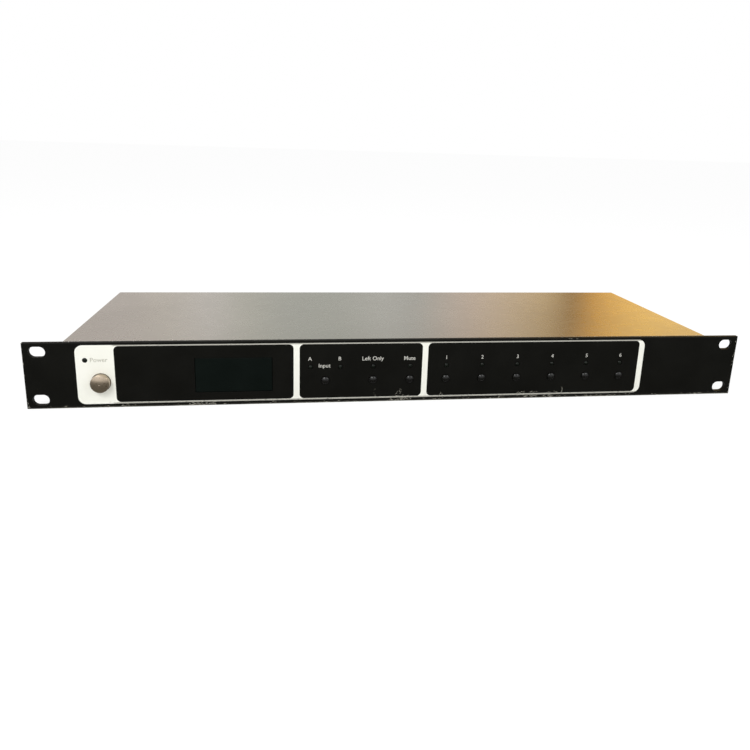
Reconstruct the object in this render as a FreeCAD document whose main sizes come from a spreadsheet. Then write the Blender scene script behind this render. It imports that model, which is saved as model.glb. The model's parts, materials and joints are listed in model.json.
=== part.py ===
import FreeCAD, Part
import math
import operator
import os

import Sketcher

# Audio line router, one rack unit high. Millimetres.
# X runs to the right seen from the front, Y runs back into the case, Z runs up.
# The origin is the centre of the four rack slots, on the rear face of the front panel.

Vector = FreeCAD.Vector
Rotation = FreeCAD.Rotation

os.makedirs("parts", exist_ok=True)
doc = FreeCAD.newDocument("line_router")
sheet = doc.addObject("Spreadsheet::Sheet", "sizes")

X_AXIS = Vector(1, 0, 0)
Y_AXIS = Vector(0, 1, 0)
Z_AXIS = Vector(0, 0, 1)


# Sizes

OPERATIONS = {
    "+": operator.add,
    "-": operator.sub,
    "*": operator.mul,
    "/": operator.truediv,
}


class Size:
    """A length that keeps both its formula for the document and its value."""

    def __init__(self, formula, value):
        self.formula = formula
        self.value = value

    def __add__(self, other):
        return combine(self, "+", other)

    def __radd__(self, other):
        return combine(other, "+", self)

    def __sub__(self, other):
        return combine(self, "-", other)

    def __rsub__(self, other):
        return combine(other, "-", self)

    def __mul__(self, other):
        return combine(self, "*", other)

    def __rmul__(self, other):
        return combine(other, "*", self)

    def __truediv__(self, other):
        return combine(self, "/", other)

    def __neg__(self):
        return combine(0, "-", self)


def as_size(thing):
    """A plain number becomes a size with a constant formula."""
    if isinstance(thing, Size):
        return thing
    return Size(repr(float(thing)), float(thing))


def combine(first, sign, second):
    first = as_size(first)
    second = as_size(second)
    formula = "(" + first.formula + " " + sign + " " + second.formula + ")"
    return Size(formula, OPERATIONS[sign](first.value, second.value))


sheet_rows = []


def size(name, value):
    """Write one driving dimension into the sheet and hand it back as a size."""
    sheet_rows.append(name)
    row = len(sheet_rows)
    sheet.set("A" + str(row), name)
    sheet.set("B" + str(row), str(value))
    sheet.setAlias("B" + str(row), name)
    return Size("sizes." + name, float(value))


# Front panel and rack slots
ear_width = size("ear_width", 22.8)
panel_height = size("panel_height", 43.66)
panel_thick = size("panel_thick", 3.0)
panel_bevel = size("panel_bevel", 0.4)
slot_inset_wide = size("slot_inset_wide", 8.75)
slot_inset_high = size("slot_inset_high", 5.955)
slot_length = size("slot_length", 10.2)
slot_width = size("slot_width", 7.1)

# Case
case_width = size("case_width", 437.0)
case_depth = size("case_depth", 137.0)
sheet_thick = size("sheet_thick", 1.2)
cover_drop = size("cover_drop", 0.25)
cover_gap = size("cover_gap", 0.9)
skirt_gap = size("skirt_gap", 1.0)
bend_radius = size("bend_radius", 1.1)
fit_gap = size("fit_gap", 0.1)
lip_width = size("lip_width", 9.0)
lip_low = size("lip_low", 3.0)

# Small fasteners
screw_radius = size("screw_radius", 1.45)
screw_length = size("screw_length", 6.0)
head_radius = size("head_radius", 2.8)
head_height = size("head_height", 1.8)
head_dome = size("head_dome", 5.6)
screw_clearance = size("screw_clearance", 0.2)
thread_gap = size("thread_gap", 0.05)
recess_width = size("recess_width", 0.8)
recess_length = size("recess_length", 3.4)
recess_depth = size("recess_depth", 1.0)
stud_radius = size("stud_radius", 1.5)
stud_length = size("stud_length", 6.0)
stud_inset_wide = size("stud_inset_wide", 7.1)
stud_inset_high = size("stud_inset_high", 5.4)
nut_radius = size("nut_radius", 3.1)
nut_height = size("nut_height", 2.4)
cover_screw_height = size("cover_screw_height", -6.0)
cover_screw_inset = size("cover_screw_inset", 18.0)
rear_screw_spread = size("rear_screw_spread", 22.0)
strap_width = size("strap_width", 16.0)
strap_screw_offset = size("strap_screw_offset", 4.2)
screw_tip_gap = size("screw_tip_gap", 0.6)

# Display window and the module behind it
window_centre_x = size("window_centre_x", -112.95)
window_centre_z = size("window_centre_z", -1.1)
window_width = size("window_width", 49.6)
window_height = size("window_height", 23.6)
window_recess = size("window_recess", 0.4)
window_fit = size("window_fit", 0.15)
window_flange = size("window_flange", 1.2)
window_flange_thick = size("window_flange_thick", 1.2)
display_margin = size("display_margin", 2.6)
display_thick = size("display_thick", 5.0)
display_air = size("display_air", 0.4)

# Power button, its switch and the bracket
power_inset = size("power_inset", 20.4)
power_z = size("power_z", -4.6)
power_radius = size("power_radius", 5.8)
power_hole_gap = size("power_hole_gap", 0.35)
power_proud = size("power_proud", 5.0)
power_travel = size("power_travel", 3.0)
power_dome = size("power_dome", 13.0)
power_tail = size("power_tail", 2.5)
power_flange_lap = size("power_flange_lap", 1.0)
power_flange_thick = size("power_flange_thick", 0.9)
power_stem_radius = size("power_stem_radius", 2.4)
power_stem_entry = size("power_stem_entry", 4.0)
stem_gap = size("stem_gap", 0.35)
bracket_hole_gap = size("bracket_hole_gap", 1.0)
flange_gap = size("flange_gap", 0.4)
bracket_air = size("bracket_air", 3.2)
bracket_half_width = size("bracket_half_width", 14.0)
bracket_foot = size("bracket_foot", 16.0)
switch_section = size("switch_section", 14.0)
switch_length = size("switch_length", 24.0)
terminal_width = size("terminal_width", 4.0)
terminal_thick = size("terminal_thick", 0.8)
terminal_length = size("terminal_length", 6.0)

# Keys, lamps and the front board
key_z = size("key_z", -6.0)
key_radius = size("key_radius", 2.5)
key_gap = size("key_gap", 0.3)
key_proud = size("key_proud", 1.7)
key_dome = size("key_dome", 3.4)
key_travel = size("key_travel", 0.5)
key_flange_radius = size("key_flange_radius", 3.4)
key_flange_thick = size("key_flange_thick", 1.0)
key_stem_radius = size("key_stem_radius", 1.5)
key_stem_entry = size("key_stem_entry", 0.6)
key_switch_side = size("key_switch_side", 6.0)
key_switch_height = size("key_switch_height", 3.5)
channel_pitch = size("channel_pitch", 25.0)
channel_count = 6
input_key_offset = size("input_key_offset", 34.6)
left_only_offset = size("left_only_offset", 31.9)
input_lamp_spread = size("input_lamp_spread", 19.7)
lamp_z = size("lamp_z", 3.45)
power_lamp_offset = size("power_lamp_offset", 8.85)
power_lamp_z = size("power_lamp_z", 10.25)
lamp_radius = size("lamp_radius", 1.5)
lamp_gap = size("lamp_gap", 0.1)
lamp_proud = size("lamp_proud", 0.5)
lamp_flange_radius = size("lamp_flange_radius", 1.9)
lamp_flange_thick = size("lamp_flange_thick", 1.0)
lead_side = size("lead_side", 0.5)
lead_spread = size("lead_spread", 2.54)
front_board_gap = size("front_board_gap", 10.0)
board_thick = size("board_thick", 1.6)
board_clearance = size("board_clearance", 0.6)
board_overhang = size("board_overhang", 9.5)
wall_cut_margin = size("wall_cut_margin", 4.75)
wall_cut_gap = size("wall_cut_gap", 0.4)
wall_cut_rise = size("wall_cut_rise", 0.8)
spacer_radius = size("spacer_radius", 2.4)
spacer_edge = size("spacer_edge", 0.5)

# Main board and what stands on it
main_board_margin = size("main_board_margin", 11.0)
main_board_depth = size("main_board_depth", 87.0)
main_board_rear_gap = size("main_board_rear_gap", 1.5)
main_spacer_height = size("main_spacer_height", 5.0)
main_spacer_inset = size("main_spacer_inset", 5.0)
relay_length = size("relay_length", 20.0)
relay_width = size("relay_width", 9.2)
relay_height = size("relay_height", 11.0)
relay_spread = size("relay_spread", 10.4)
relay_row_gap = size("relay_row_gap", 30.0)
chip_length = size("chip_length", 9.6)
chip_width = size("chip_width", 6.4)
chip_height = size("chip_height", 3.4)
chip_row_gap = size("chip_row_gap", 18.0)
small_can_radius = size("small_can_radius", 3.1)
small_can_height = size("small_can_height", 11.0)
small_can_row_gap = size("small_can_row_gap", 7.0)
large_can_radius = size("large_can_radius", 8.0)
large_can_height = size("large_can_height", 25.0)
large_can_inset = size("large_can_inset", 15.0)
large_can_gap = size("large_can_gap", 1.0)
large_can_pitch = size("large_can_pitch", 17.0)
regulator_offset = size("regulator_offset", 33.0)
regulator_setback = size("regulator_setback", 16.0)
regulator_pitch = size("regulator_pitch", 14.0)
regulator_width = size("regulator_width", 10.0)
regulator_height = size("regulator_height", 17.0)
regulator_thick = size("regulator_thick", 4.4)
sink_length = size("sink_length", 30.0)
sink_height = size("sink_height", 20.0)
sink_base = size("sink_base", 2.0)
sink_fin_length = size("sink_fin_length", 8.0)
sink_fin_thick = size("sink_fin_thick", 1.2)
sink_fin_count = 6

# Header plugs and the ribbon between the boards
header_width = size("header_width", 28.0)
header_depth = size("header_depth", 6.0)
header_height = size("header_height", 9.0)
header_setback = size("header_setback", 6.0)
ribbon_width = size("ribbon_width", 25.4)
ribbon_thick = size("ribbon_thick", 1.0)
ribbon_exit = size("ribbon_exit", 9.0)
ribbon_bow = size("ribbon_bow", 13.5)
power_header_side = size("power_header_side", 6.0)
power_header_height = size("power_header_height", 5.5)
power_header_gap = size("power_header_gap", 1.2)

# Transformer
transformer_inset = size("transformer_inset", 47.5)
transformer_gap = size("transformer_gap", 10.0)
core_radius = size("core_radius", 27.5)
core_bore = size("core_bore", 9.0)
core_height = size("core_height", 27.0)
core_rounding = size("core_rounding", 5.0)
pad_thick = size("pad_thick", 1.4)
dish_radius = size("dish_radius", 21.0)
dish_thick = size("dish_thick", 1.4)
big_stud_radius = size("big_stud_radius", 2.5)
big_nut_radius = size("big_nut_radius", 4.6)
big_nut_height = size("big_nut_height", 4.0)
big_stud_spare = size("big_stud_spare", 0.6)

# Mains inlet, fuse drawer and earth terminal
inlet_inset = size("inlet_inset", 36.0)
inlet_flange_width = size("inlet_flange_width", 50.0)
inlet_flange_height = size("inlet_flange_height", 31.0)
inlet_flange_thick = size("inlet_flange_thick", 2.6)
inlet_screw_spread = size("inlet_screw_spread", 40.0)
inlet_body_width = size("inlet_body_width", 28.0)
inlet_body_height = size("inlet_body_height", 28.6)
inlet_body_depth = size("inlet_body_depth", 22.0)
mouth_width = size("mouth_width", 24.2)
mouth_height = size("mouth_height", 16.4)
mouth_depth = size("mouth_depth", 16.0)
mouth_corner = size("mouth_corner", 4.5)
mouth_z = size("mouth_z", 4.6)
blade_spread = size("blade_spread", 14.0)
blade_drop = size("blade_drop", 2.0)
blade_width = size("blade_width", 2.0)
blade_height = size("blade_height", 4.0)
blade_setback = size("blade_setback", 4.6)
blade_tail = size("blade_tail", 7.0)
drawer_z = size("drawer_z", -9.7)
drawer_width = size("drawer_width", 23.0)
drawer_height = size("drawer_height", 6.2)
drawer_depth = size("drawer_depth", 18.0)
drawer_gap = size("drawer_gap", 0.3)
drawer_face_lap = size("drawer_face_lap", 1.0)
drawer_face_thick = size("drawer_face_thick", 1.6)
drawer_floor = size("drawer_floor", 0.6)
drawer_wall = size("drawer_wall", 2.0)
drawer_grip = size("drawer_grip", 1.6)
fuse_radius = size("fuse_radius", 2.5)
fuse_length = size("fuse_length", 20.0)
fuse_gap = size("fuse_gap", 0.2)
earth_offset = size("earth_offset", 31.0)
earth_setback = size("earth_setback", 12.0)
earth_height = size("earth_height", 9.0)
earth_lug_thick = size("earth_lug_thick", 0.8)
earth_lug_radius = size("earth_lug_radius", 4.1)
earth_tongue_width = size("earth_tongue_width", 4.0)
earth_tongue_length = size("earth_tongue_length", 11.1)

# Input sockets and their latches
input_gap = size("input_gap", 24.0)
input_pitch = size("input_pitch", 29.0)
input_pair_gap = size("input_pair_gap", 46.0)
socket_z = size("socket_z", 1.4)
socket_width = size("socket_width", 26.0)
socket_height = size("socket_height", 31.0)
socket_flange_thick = size("socket_flange_thick", 2.6)
socket_body_radius = size("socket_body_radius", 11.8)
socket_body_depth = size("socket_body_depth", 20.0)
socket_recess_radius = size("socket_recess_radius", 9.3)
socket_recess_depth = size("socket_recess_depth", 14.0)
socket_core_radius = size("socket_core_radius", 7.6)
socket_core_setback = size("socket_core_setback", 1.0)
contact_radius = size("contact_radius", 1.3)
contact_depth = size("contact_depth", 10.0)
contact_circle = size("contact_circle", 4.1)
socket_screw_wide = size("socket_screw_wide", 19.0)
socket_screw_high = size("socket_screw_high", 24.0)
latch_width = size("latch_width", 7.0)
latch_low = size("latch_low", 10.2)
latch_high = size("latch_high", 13.8)
latch_proud = size("latch_proud", 1.2)
latch_entry = size("latch_entry", 1.0)
latch_travel = size("latch_travel", 1.2)
latch_gap = size("latch_gap", 0.2)
latch_stem_width = size("latch_stem_width", 5.0)
latch_stem_thick = size("latch_stem_thick", 1.2)
latch_stem_length = size("latch_stem_length", 8.0)

# Output jacks
output_inset = size("output_inset", 24.0)
output_pitch = size("output_pitch", 26.0)
jack_rise = size("jack_rise", 9.0)
jack_spread = size("jack_spread", 17.0)
jack_block_width = size("jack_block_width", 16.0)
jack_block_depth = size("jack_block_depth", 26.0)
jack_head_room = size("jack_head_room", 7.2)
jack_nose_radius = size("jack_nose_radius", 4.7)
jack_nose_proud = size("jack_nose_proud", 4.0)
rear_hole_gap = size("rear_hole_gap", 0.3)
jack_bore = size("jack_bore", 3.25)
jack_bore_depth = size("jack_bore_depth", 29.0)
jack_nut_radius = size("jack_nut_radius", 7.0)
jack_nut_height = size("jack_nut_height", 2.2)

# Wiring
wire_radius = size("wire_radius", 1.0)
wire_spread = size("wire_spread", 5.0)

# Levels that many pieces share
panel_width = case_width + ear_width * 2
slot_pitch_wide = panel_width - slot_inset_wide * 2
slot_pitch_high = panel_height - slot_inset_high * 2
case_half = case_width / 2
case_bottom = -panel_height / 2
case_top = panel_height / 2 - cover_drop
tray_half = case_half - sheet_thick - fit_gap
tray_top = case_top - sheet_thick
inner_half = tray_half - sheet_thick
floor_top = case_bottom + sheet_thick
rear_inner = case_depth - sheet_thick
lip_front = rear_inner - sheet_thick
panel_front = -panel_thick
front_board_rear = front_board_gap + board_thick
main_board_under = floor_top + main_spacer_height
main_board_top = main_board_under + board_thick
main_board_rear = lip_front - main_board_rear_gap
main_board_front = main_board_rear - main_board_depth
power_x = -inner_half + power_inset
power_lamp_x = power_x - power_lamp_offset
window_left = window_centre_x - window_width / 2
window_right = window_centre_x + window_width / 2
window_low = window_centre_z - window_height / 2
window_high = window_centre_z + window_height / 2
hole_radius = screw_radius + screw_clearance
tapped_radius = screw_radius + thread_gap

# Rows of keys and lamps
input_key_x = window_right + input_key_offset
left_only_x = input_key_x + left_only_offset
mute_x = left_only_x + channel_pitch
first_channel_x = mute_x + channel_pitch
channel_x = [first_channel_x + channel_pitch * index for index in range(channel_count)]
lamp_a_x = input_key_x - input_lamp_spread / 2
lamp_b_x = input_key_x + input_lamp_spread / 2
board_lamp_x = [lamp_a_x, lamp_b_x, left_only_x, mute_x] + channel_x
key_places = {"input": input_key_x, "left_only": left_only_x, "mute": mute_x}
for channel_index, place in enumerate(channel_x):
    key_places["channel_" + str(channel_index + 1)] = place
last_channel_x = channel_x[-1]

# Rear connectors
inlet_x = -inner_half + inlet_inset
input_first_x = inlet_x + inlet_flange_width / 2 + input_gap + socket_width / 2
input_places = {
    "input_a_left": input_first_x,
    "input_a_right": input_first_x + input_pitch,
    "input_b_left": input_first_x + input_pitch + input_pair_gap,
    "input_b_right": input_first_x + 2 * input_pitch + input_pair_gap,
}
output_last_x = inner_half - output_inset
output_first_x = output_last_x - output_pitch * (channel_count - 1)
output_x = [output_first_x + output_pitch * index for index in range(channel_count)]
jack_low_z = main_board_top + jack_rise
jack_high_z = jack_low_z + jack_spread
jack_levels = [jack_low_z, jack_high_z]
jack_front = rear_inner - jack_block_depth

# Main board outline and rows
main_board_left = input_first_x - socket_width / 2
main_board_right = output_last_x + jack_block_width / 2 + main_board_margin
small_can_row_y = jack_front - small_can_row_gap
chip_row_y = jack_front - chip_row_gap
relay_row_y = jack_front - relay_row_gap - relay_length / 2
large_can_x = main_board_left + large_can_inset
large_can_y = chip_row_y - chip_width / 2 - large_can_gap - large_can_radius - large_can_pitch
regulator_x = large_can_x + regulator_offset
regulator_y = main_board_front + regulator_setback
inlet_rear = rear_inner - inlet_body_depth
tail_front = inlet_rear - blade_tail
transformer_x = -inner_half + transformer_inset
transformer_y = tail_front - transformer_gap - core_radius
earth_x = inlet_x + earth_offset
earth_y = lip_front - earth_setback


# Building blocks

# How long a domed cap's rounded tip is, as a share of its radius
CROWN_SHARE = 0.6

# How near to a face or a level an edge counts as on it
NEAR = 0.01

nodes = []


def node(item, label):
    """Mark an object as a finished sub-part under its own label."""
    item.Label = label
    nodes.append(item)
    return item


def bind(item, name, thing):
    item.setExpression(name, as_size(thing).formula)


def place(item, point, turn=None):
    """Hold an object's placement at a point of sizes."""
    if turn is not None:
        item.Placement = FreeCAD.Placement(Vector(), turn)
    for letter, thing in zip("xyz", point):
        bind(item, "Placement.Base." + letter, thing)
    return item


def block(name, low, high):
    """A block from its low corner to its high corner."""
    item = doc.addObject("Part::Box", name)
    for prop, start, end in zip(("Length", "Width", "Height"), low, high):
        bind(item, prop, as_size(end) - start)
    return place(item, low)


TURNS = {
    "x": Rotation(Z_AXIS, X_AXIS),
    "y": Rotation(Z_AXIS, Y_AXIS),
    "z": Rotation(),
}


def rod(name, start, radius, length, along="y"):
    """A cylinder from a point, along one axis."""
    item = doc.addObject("Part::Cylinder", name)
    bind(item, "Radius", radius)
    bind(item, "Height", length)
    return place(item, start, TURNS[along])


def ball(name, centre, radius, along="y"):
    """A sphere whose poles lie along one axis."""
    item = doc.addObject("Part::Sphere", name)
    bind(item, "Radius", radius)
    return place(item, centre, TURNS[along])


def hexagon(name, start, radius, length, along="y"):
    """A six-sided prism from a point, along one axis."""
    item = doc.addObject("Part::Prism", name)
    item.Polygon = 6
    bind(item, "Circumradius", radius)
    bind(item, "Height", length)
    return place(item, start, TURNS[along])


def group(name, items):
    """Several solids kept side by side in one object."""
    item = doc.addObject("Part::Compound", name)
    item.Links = items
    return item


def cut(name, base, tools):
    item = doc.addObject("Part::Cut", name)
    item.Base = base
    item.Tool = tools[0] if len(tools) == 1 else fuse(name + "_tools", tools)
    return item


def fuse(name, items):
    item = doc.addObject("Part::MultiFuse", name)
    item.Shapes = items
    return item


def common(name, items):
    item = doc.addObject("Part::MultiCommon", name)
    item.Shapes = items
    return item


def domed_rod(name, start, radius, length, dome):
    """A rod along Y whose front end is domed: its domed tip and the rest of it."""
    start_x, start_y, start_z = start
    tip_length = radius * CROWN_SHARE
    tip = rod(name + "_tip", start, radius, tip_length)
    bowl = ball(name + "_bowl", (start_x, start_y + dome, start_z), dome)
    rest_start = (start_x, start_y + tip_length, start_z)
    rest = rod(name + "_rest", rest_start, radius, length - tip_length)
    return [common(name + "_crown", [tip, bowl]), rest]


def ring(name, start, outer, inner, length, along="y"):
    """A round spacer or washer with a through bore."""
    solid = rod(name + "_outer", start, outer, length, along)
    bore = rod(name + "_bore", start, inner, length, along)
    return cut(name, solid, [bore])


# Sketches and body features


def new_body(name):
    return doc.addObject("PartDesign::Body", name)


def sketch_on(body, role, level, name):
    """A sketch on one of the body's own origin planes, held at a level along the plane's axis.

    The XZ plane looks towards the front, so its offset is the level with the sign changed.
    """
    sketch = body.newObject("Sketcher::SketchObject", name)
    plane = [feature for feature in body.Origin.OriginFeatures if feature.Role == role][0]
    sketch.AttachmentSupport = [(plane, "")]
    sketch.MapMode = "FlatFace"
    offset = -as_size(level) if role == "XZ_Plane" else as_size(level)
    bind(sketch, "AttachmentOffset.Base.z", offset)
    return sketch


def hold_point(sketch, index, corner, point):
    """Hold one point of the sketch at its two distances from the sketch's origin."""
    for kind, thing in zip(("DistanceX", "DistanceY"), point):
        thing = as_size(thing)
        constraint = Sketcher.Constraint(kind, -1, 1, index, corner, thing.value)
        number = sketch.addConstraint(constraint)
        sketch.setExpression("Constraints[" + str(number) + "]", thing.formula)


def outline(sketch, points):
    """A closed outline of straight lines through the points."""
    corners = [Vector(as_size(u).value, as_size(v).value, 0) for u, v in points]
    first = sketch.GeometryCount
    count = len(points)
    for index in range(count):
        line = Part.LineSegment(corners[index], corners[(index + 1) % count])
        sketch.addGeometry(line, False)
    for index in range(count):
        following = first + (index + 1) % count
        sketch.addConstraint(Sketcher.Constraint("Coincident", first + index, 2, following, 1))
    for index, point in enumerate(points):
        hold_point(sketch, first + index, 1, point)


def rectangle(sketch, low, high):
    outline(sketch, [(low[0], low[1]), (high[0], low[1]), (high[0], high[1]), (low[0], high[1])])


def circle(sketch, centre, radius):
    """A circle held by its centre and its radius."""
    radius = as_size(radius)
    middle = Vector(as_size(centre[0]).value, as_size(centre[1]).value, 0)
    index = sketch.addGeometry(Part.Circle(middle, Z_AXIS, radius.value), False)
    hold_point(sketch, index, 3, centre)
    number = sketch.addConstraint(Sketcher.Constraint("Radius", index, radius.value))
    sketch.setExpression("Constraints[" + str(number) + "]", radius.formula)


def slot(sketch, centre, length, width):
    """A round-ended slot along the sketch's first axis."""
    middle_u = as_size(centre[0])
    middle_v = as_size(centre[1])
    reach = (length - width) / 2
    radius = width / 2
    left = Vector((middle_u - reach).value, middle_v.value, 0)
    right = Vector((middle_u + reach).value, middle_v.value, 0)
    rise = Vector(0, radius.value, 0)
    quarter = math.pi / 2
    left_end = Part.ArcOfCircle(Part.Circle(left, Z_AXIS, radius.value), quarter, 3 * quarter)
    right_end = Part.ArcOfCircle(Part.Circle(right, Z_AXIS, radius.value), -quarter, quarter)
    start = sketch.addGeometry(left_end, False)
    end = sketch.addGeometry(right_end, False)
    lower = sketch.addGeometry(Part.LineSegment(left - rise, right - rise), False)
    upper = sketch.addGeometry(Part.LineSegment(right + rise, left + rise), False)
    sketch.addConstraint(Sketcher.Constraint("Tangent", start, 2, lower, 1))
    sketch.addConstraint(Sketcher.Constraint("Tangent", lower, 2, end, 1))
    sketch.addConstraint(Sketcher.Constraint("Tangent", end, 2, upper, 1))
    sketch.addConstraint(Sketcher.Constraint("Tangent", upper, 2, start, 1))
    hold_point(sketch, start, 3, (middle_u - reach, middle_v))
    hold_point(sketch, end, 3, (middle_u + reach, middle_v))
    number = sketch.addConstraint(Sketcher.Constraint("Radius", start, radius.value))
    sketch.setExpression("Constraints[" + str(number) + "]", radius.formula)


def pad(body, sketch, length, backwards=False):
    """A pad along the sketch plane's own normal, or against it."""
    feature = body.newObject("PartDesign::Pad", sketch.Name + "_pad")
    feature.Profile = sketch
    bind(feature, "Length", length)
    feature.Reversed = backwards
    sketch.Visibility = False
    return feature


def pocket(body, sketch, length, backwards=False):
    """A pocket against the sketch plane's own normal, or along it."""
    feature = body.newObject("PartDesign::Pocket", sketch.Name + "_pocket")
    feature.Profile = sketch
    bind(feature, "Length", length)
    feature.Reversed = backwards
    sketch.Visibility = False
    return feature


def edges_where(shape, test):
    """Names of the edges that pass a test."""
    return ["Edge" + str(index + 1) for index, edge in enumerate(shape.Edges) if test(edge)]


def plate_from_front(body, name, front, thick, low, high):
    """A flat plate across the case, from its front face backwards."""
    sketch = sketch_on(body, "XZ_Plane", front, name)
    rectangle(sketch, low, high)
    return pad(body, sketch, thick, True)


def holes_through(body, name, front, depth, draw):
    """Cut what draw puts on a sketch, from its front face backwards."""
    sketch = sketch_on(body, "XZ_Plane", front, name)
    draw(sketch)
    return pocket(body, sketch, depth, False)


# Fasteners


def pan_screw(name, under_head, axis, sign, length=screw_length):
    """A pan-head screw: its head's seat, the axis it lies on, and which way its tip points."""
    spot = dict(zip("xyz", under_head))

    def moved(distance):
        shifted = dict(spot)
        shifted[axis] = spot[axis] + distance
        return [shifted[letter] for letter in "xyz"]

    if sign > 0:
        head_start = moved(-head_height)
        shank_start = moved(0)
        crown = moved(head_dome - head_height)
        recess_face = moved(-head_height)
        recess_end = moved(recess_depth - head_height)
    else:
        head_start = moved(0)
        shank_start = moved(-length)
        crown = moved(head_height - head_dome)
        recess_face = moved(head_height - recess_depth)
        recess_end = moved(head_height)
    head = rod(name + "_head", head_start, head_radius, head_height, axis)
    dome = ball(name + "_dome", crown, head_dome, axis)
    shank = rod(name + "_shank", shank_start, screw_radius, length, axis)
    rounded = common(name + "_cap", [head, dome])
    whole = fuse(name + "_whole", [rounded, shank])
    others = [letter for letter in "xyz" if letter != axis]
    arms = []
    for long_way, short_way in (others, others[::-1]):
        low = dict(zip("xyz", recess_face))
        high = dict(zip("xyz", recess_end))
        low[long_way] = spot[long_way] - recess_length / 2
        high[long_way] = spot[long_way] + recess_length / 2
        low[short_way] = spot[short_way] - recess_width / 2
        high[short_way] = spot[short_way] + recess_width / 2
        arm_low = [low[letter] for letter in "xyz"]
        arm_high = [high[letter] for letter in "xyz"]
        arms.append(block(name + "_arm_" + long_way, arm_low, arm_high))
    return cut(name, whole, arms)


# Front panel

stud_places = []
for side in (-1, 1):
    for level in (-1, 1):
        reach_x = inner_half - stud_inset_wide
        reach_z = (tray_top - floor_top) / 2 - stud_inset_high
        middle_z = (tray_top + floor_top) / 2
        stud_places.append((reach_x * side, middle_z + reach_z * level))


def make_front_panel():
    body = new_body("panel_body")
    plate_from_front(
        body, "panel_outline", panel_front, panel_thick,
        (-panel_width / 2, -panel_height / 2), (panel_width / 2, panel_height / 2),
    )
    doc.recompute()
    plate = body.Tip
    front = panel_front.value
    bevel = body.newObject("PartDesign::Chamfer", "panel_edge_bevel")
    front_edges = edges_where(plate.Shape, lambda edge: edge.BoundBox.YMax < front + NEAR)
    bevel.Base = (plate, front_edges)
    bind(bevel, "Size", panel_bevel)

    def rack_slots(sketch):
        for side in (-1, 1):
            for level in (-1, 1):
                centre = (slot_pitch_wide / 2 * side, slot_pitch_high / 2 * level)
                slot(sketch, centre, slot_length, slot_width)

    def openings(sketch):
        rectangle(sketch, (window_left, window_low), (window_right, window_high))
        circle(sketch, (power_x, power_z), power_radius + power_hole_gap)
        for spot in key_places.values():
            circle(sketch, (spot, key_z), key_radius + key_gap)
        for spot in board_lamp_x:
            circle(sketch, (spot, lamp_z), lamp_radius + lamp_gap)
        circle(sketch, (power_lamp_x, power_lamp_z), lamp_radius + lamp_gap)

    holes_through(body, "panel_slots", panel_front, panel_thick, rack_slots)
    holes_through(body, "panel_openings", panel_front, panel_thick, openings)

    studs = sketch_on(body, "XZ_Plane", 0, "panel_studs")
    for spot in stud_places:
        circle(studs, spot, stud_radius)
    pad(body, studs, stud_length, True)
    return node(body, "front_panel")


def make_panel_nuts():
    nuts = []
    for index, (spot_x, spot_z) in enumerate(stud_places):
        name = "panel_nut_" + str(index + 1)
        start = (spot_x, sheet_thick, spot_z)
        solid = hexagon(name + "_hex", start, nut_radius, nut_height)
        bore = rod(name + "_bore", start, stud_radius + thread_gap, nut_height)
        nuts.append(cut(name, solid, [bore]))
    return node(group("panel_nut_set", nuts), "panel_nuts")


# Display


def make_display():
    low = (window_left + window_fit, panel_front + window_recess, window_low + window_fit)
    high = (window_right - window_fit, 0, window_high - window_fit)
    pane = block("window_pane", low, high)
    flange_low = (window_left - window_flange, 0, window_low - window_flange)
    flange_high = (window_right + window_flange, window_flange_thick, window_high + window_flange)
    flange = block("window_flange_block", flange_low, flange_high)
    node(fuse("window_whole", [pane, flange]), "display_window")

    module_front = window_flange_thick + display_air
    cell_low = (window_left - window_flange, module_front, window_low - window_flange)
    cell_high = (window_right + window_flange, module_front + display_thick, window_high + window_flange)
    cell = block("display_cell", cell_low, cell_high)
    carrier_low = (
        window_left - display_margin, module_front + display_thick, window_low - display_margin,
    )
    carrier_high = (window_right + display_margin, front_board_gap, window_high + display_margin)
    carrier = block("display_carrier", carrier_low, carrier_high)
    node(fuse("display_whole", [cell, carrier]), "display_module")


# Power button, switch and bracket

bracket_front = power_tail + power_travel + bracket_air
switch_front = bracket_front + sheet_thick


def make_power_button():
    face = panel_front - power_proud
    cap_length = power_proud + panel_thick + power_tail
    cap = domed_rod("power_cap", (power_x, face, power_z), power_radius, cap_length, power_dome)
    stem_length = switch_front + power_stem_entry - power_tail
    stem = rod("power_stem", (power_x, power_tail, power_z), power_stem_radius, stem_length)
    flange_radius = power_radius + power_hole_gap + power_flange_lap
    flange = rod("power_flange", (power_x, 0, power_z), flange_radius, power_flange_thick)
    node(fuse("power_button_whole", cap + [flange, stem]), "power_button")


def make_power_switch():
    half = switch_section / 2
    low = (power_x - half, switch_front, power_z - half)
    high = (power_x + half, switch_front + switch_length, power_z + half)
    solid = block("switch_block", low, high)
    well_depth = power_stem_entry + power_travel + stem_gap
    well = rod(
        "switch_well", (power_x, switch_front, power_z), power_stem_radius + stem_gap, well_depth,
    )
    drilled = cut("switch_drilled", solid, [well])
    tabs = []
    rear = switch_front + switch_length
    for index, (side, level) in enumerate(((-1, -1), (1, -1), (-1, 1), (1, 1))):
        tab_x = power_x + wire_spread / 2 * side
        tab_z = power_z + switch_section / 4 * level
        tab_low = (tab_x - terminal_thick / 2, rear, tab_z - terminal_width / 2)
        tab_high = (tab_x + terminal_thick / 2, rear + terminal_length, tab_z + terminal_width / 2)
        tabs.append(block("switch_tab_" + str(index + 1), tab_low, tab_high))
    node(fuse("switch_whole", [drilled] + tabs), "power_switch")


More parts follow.
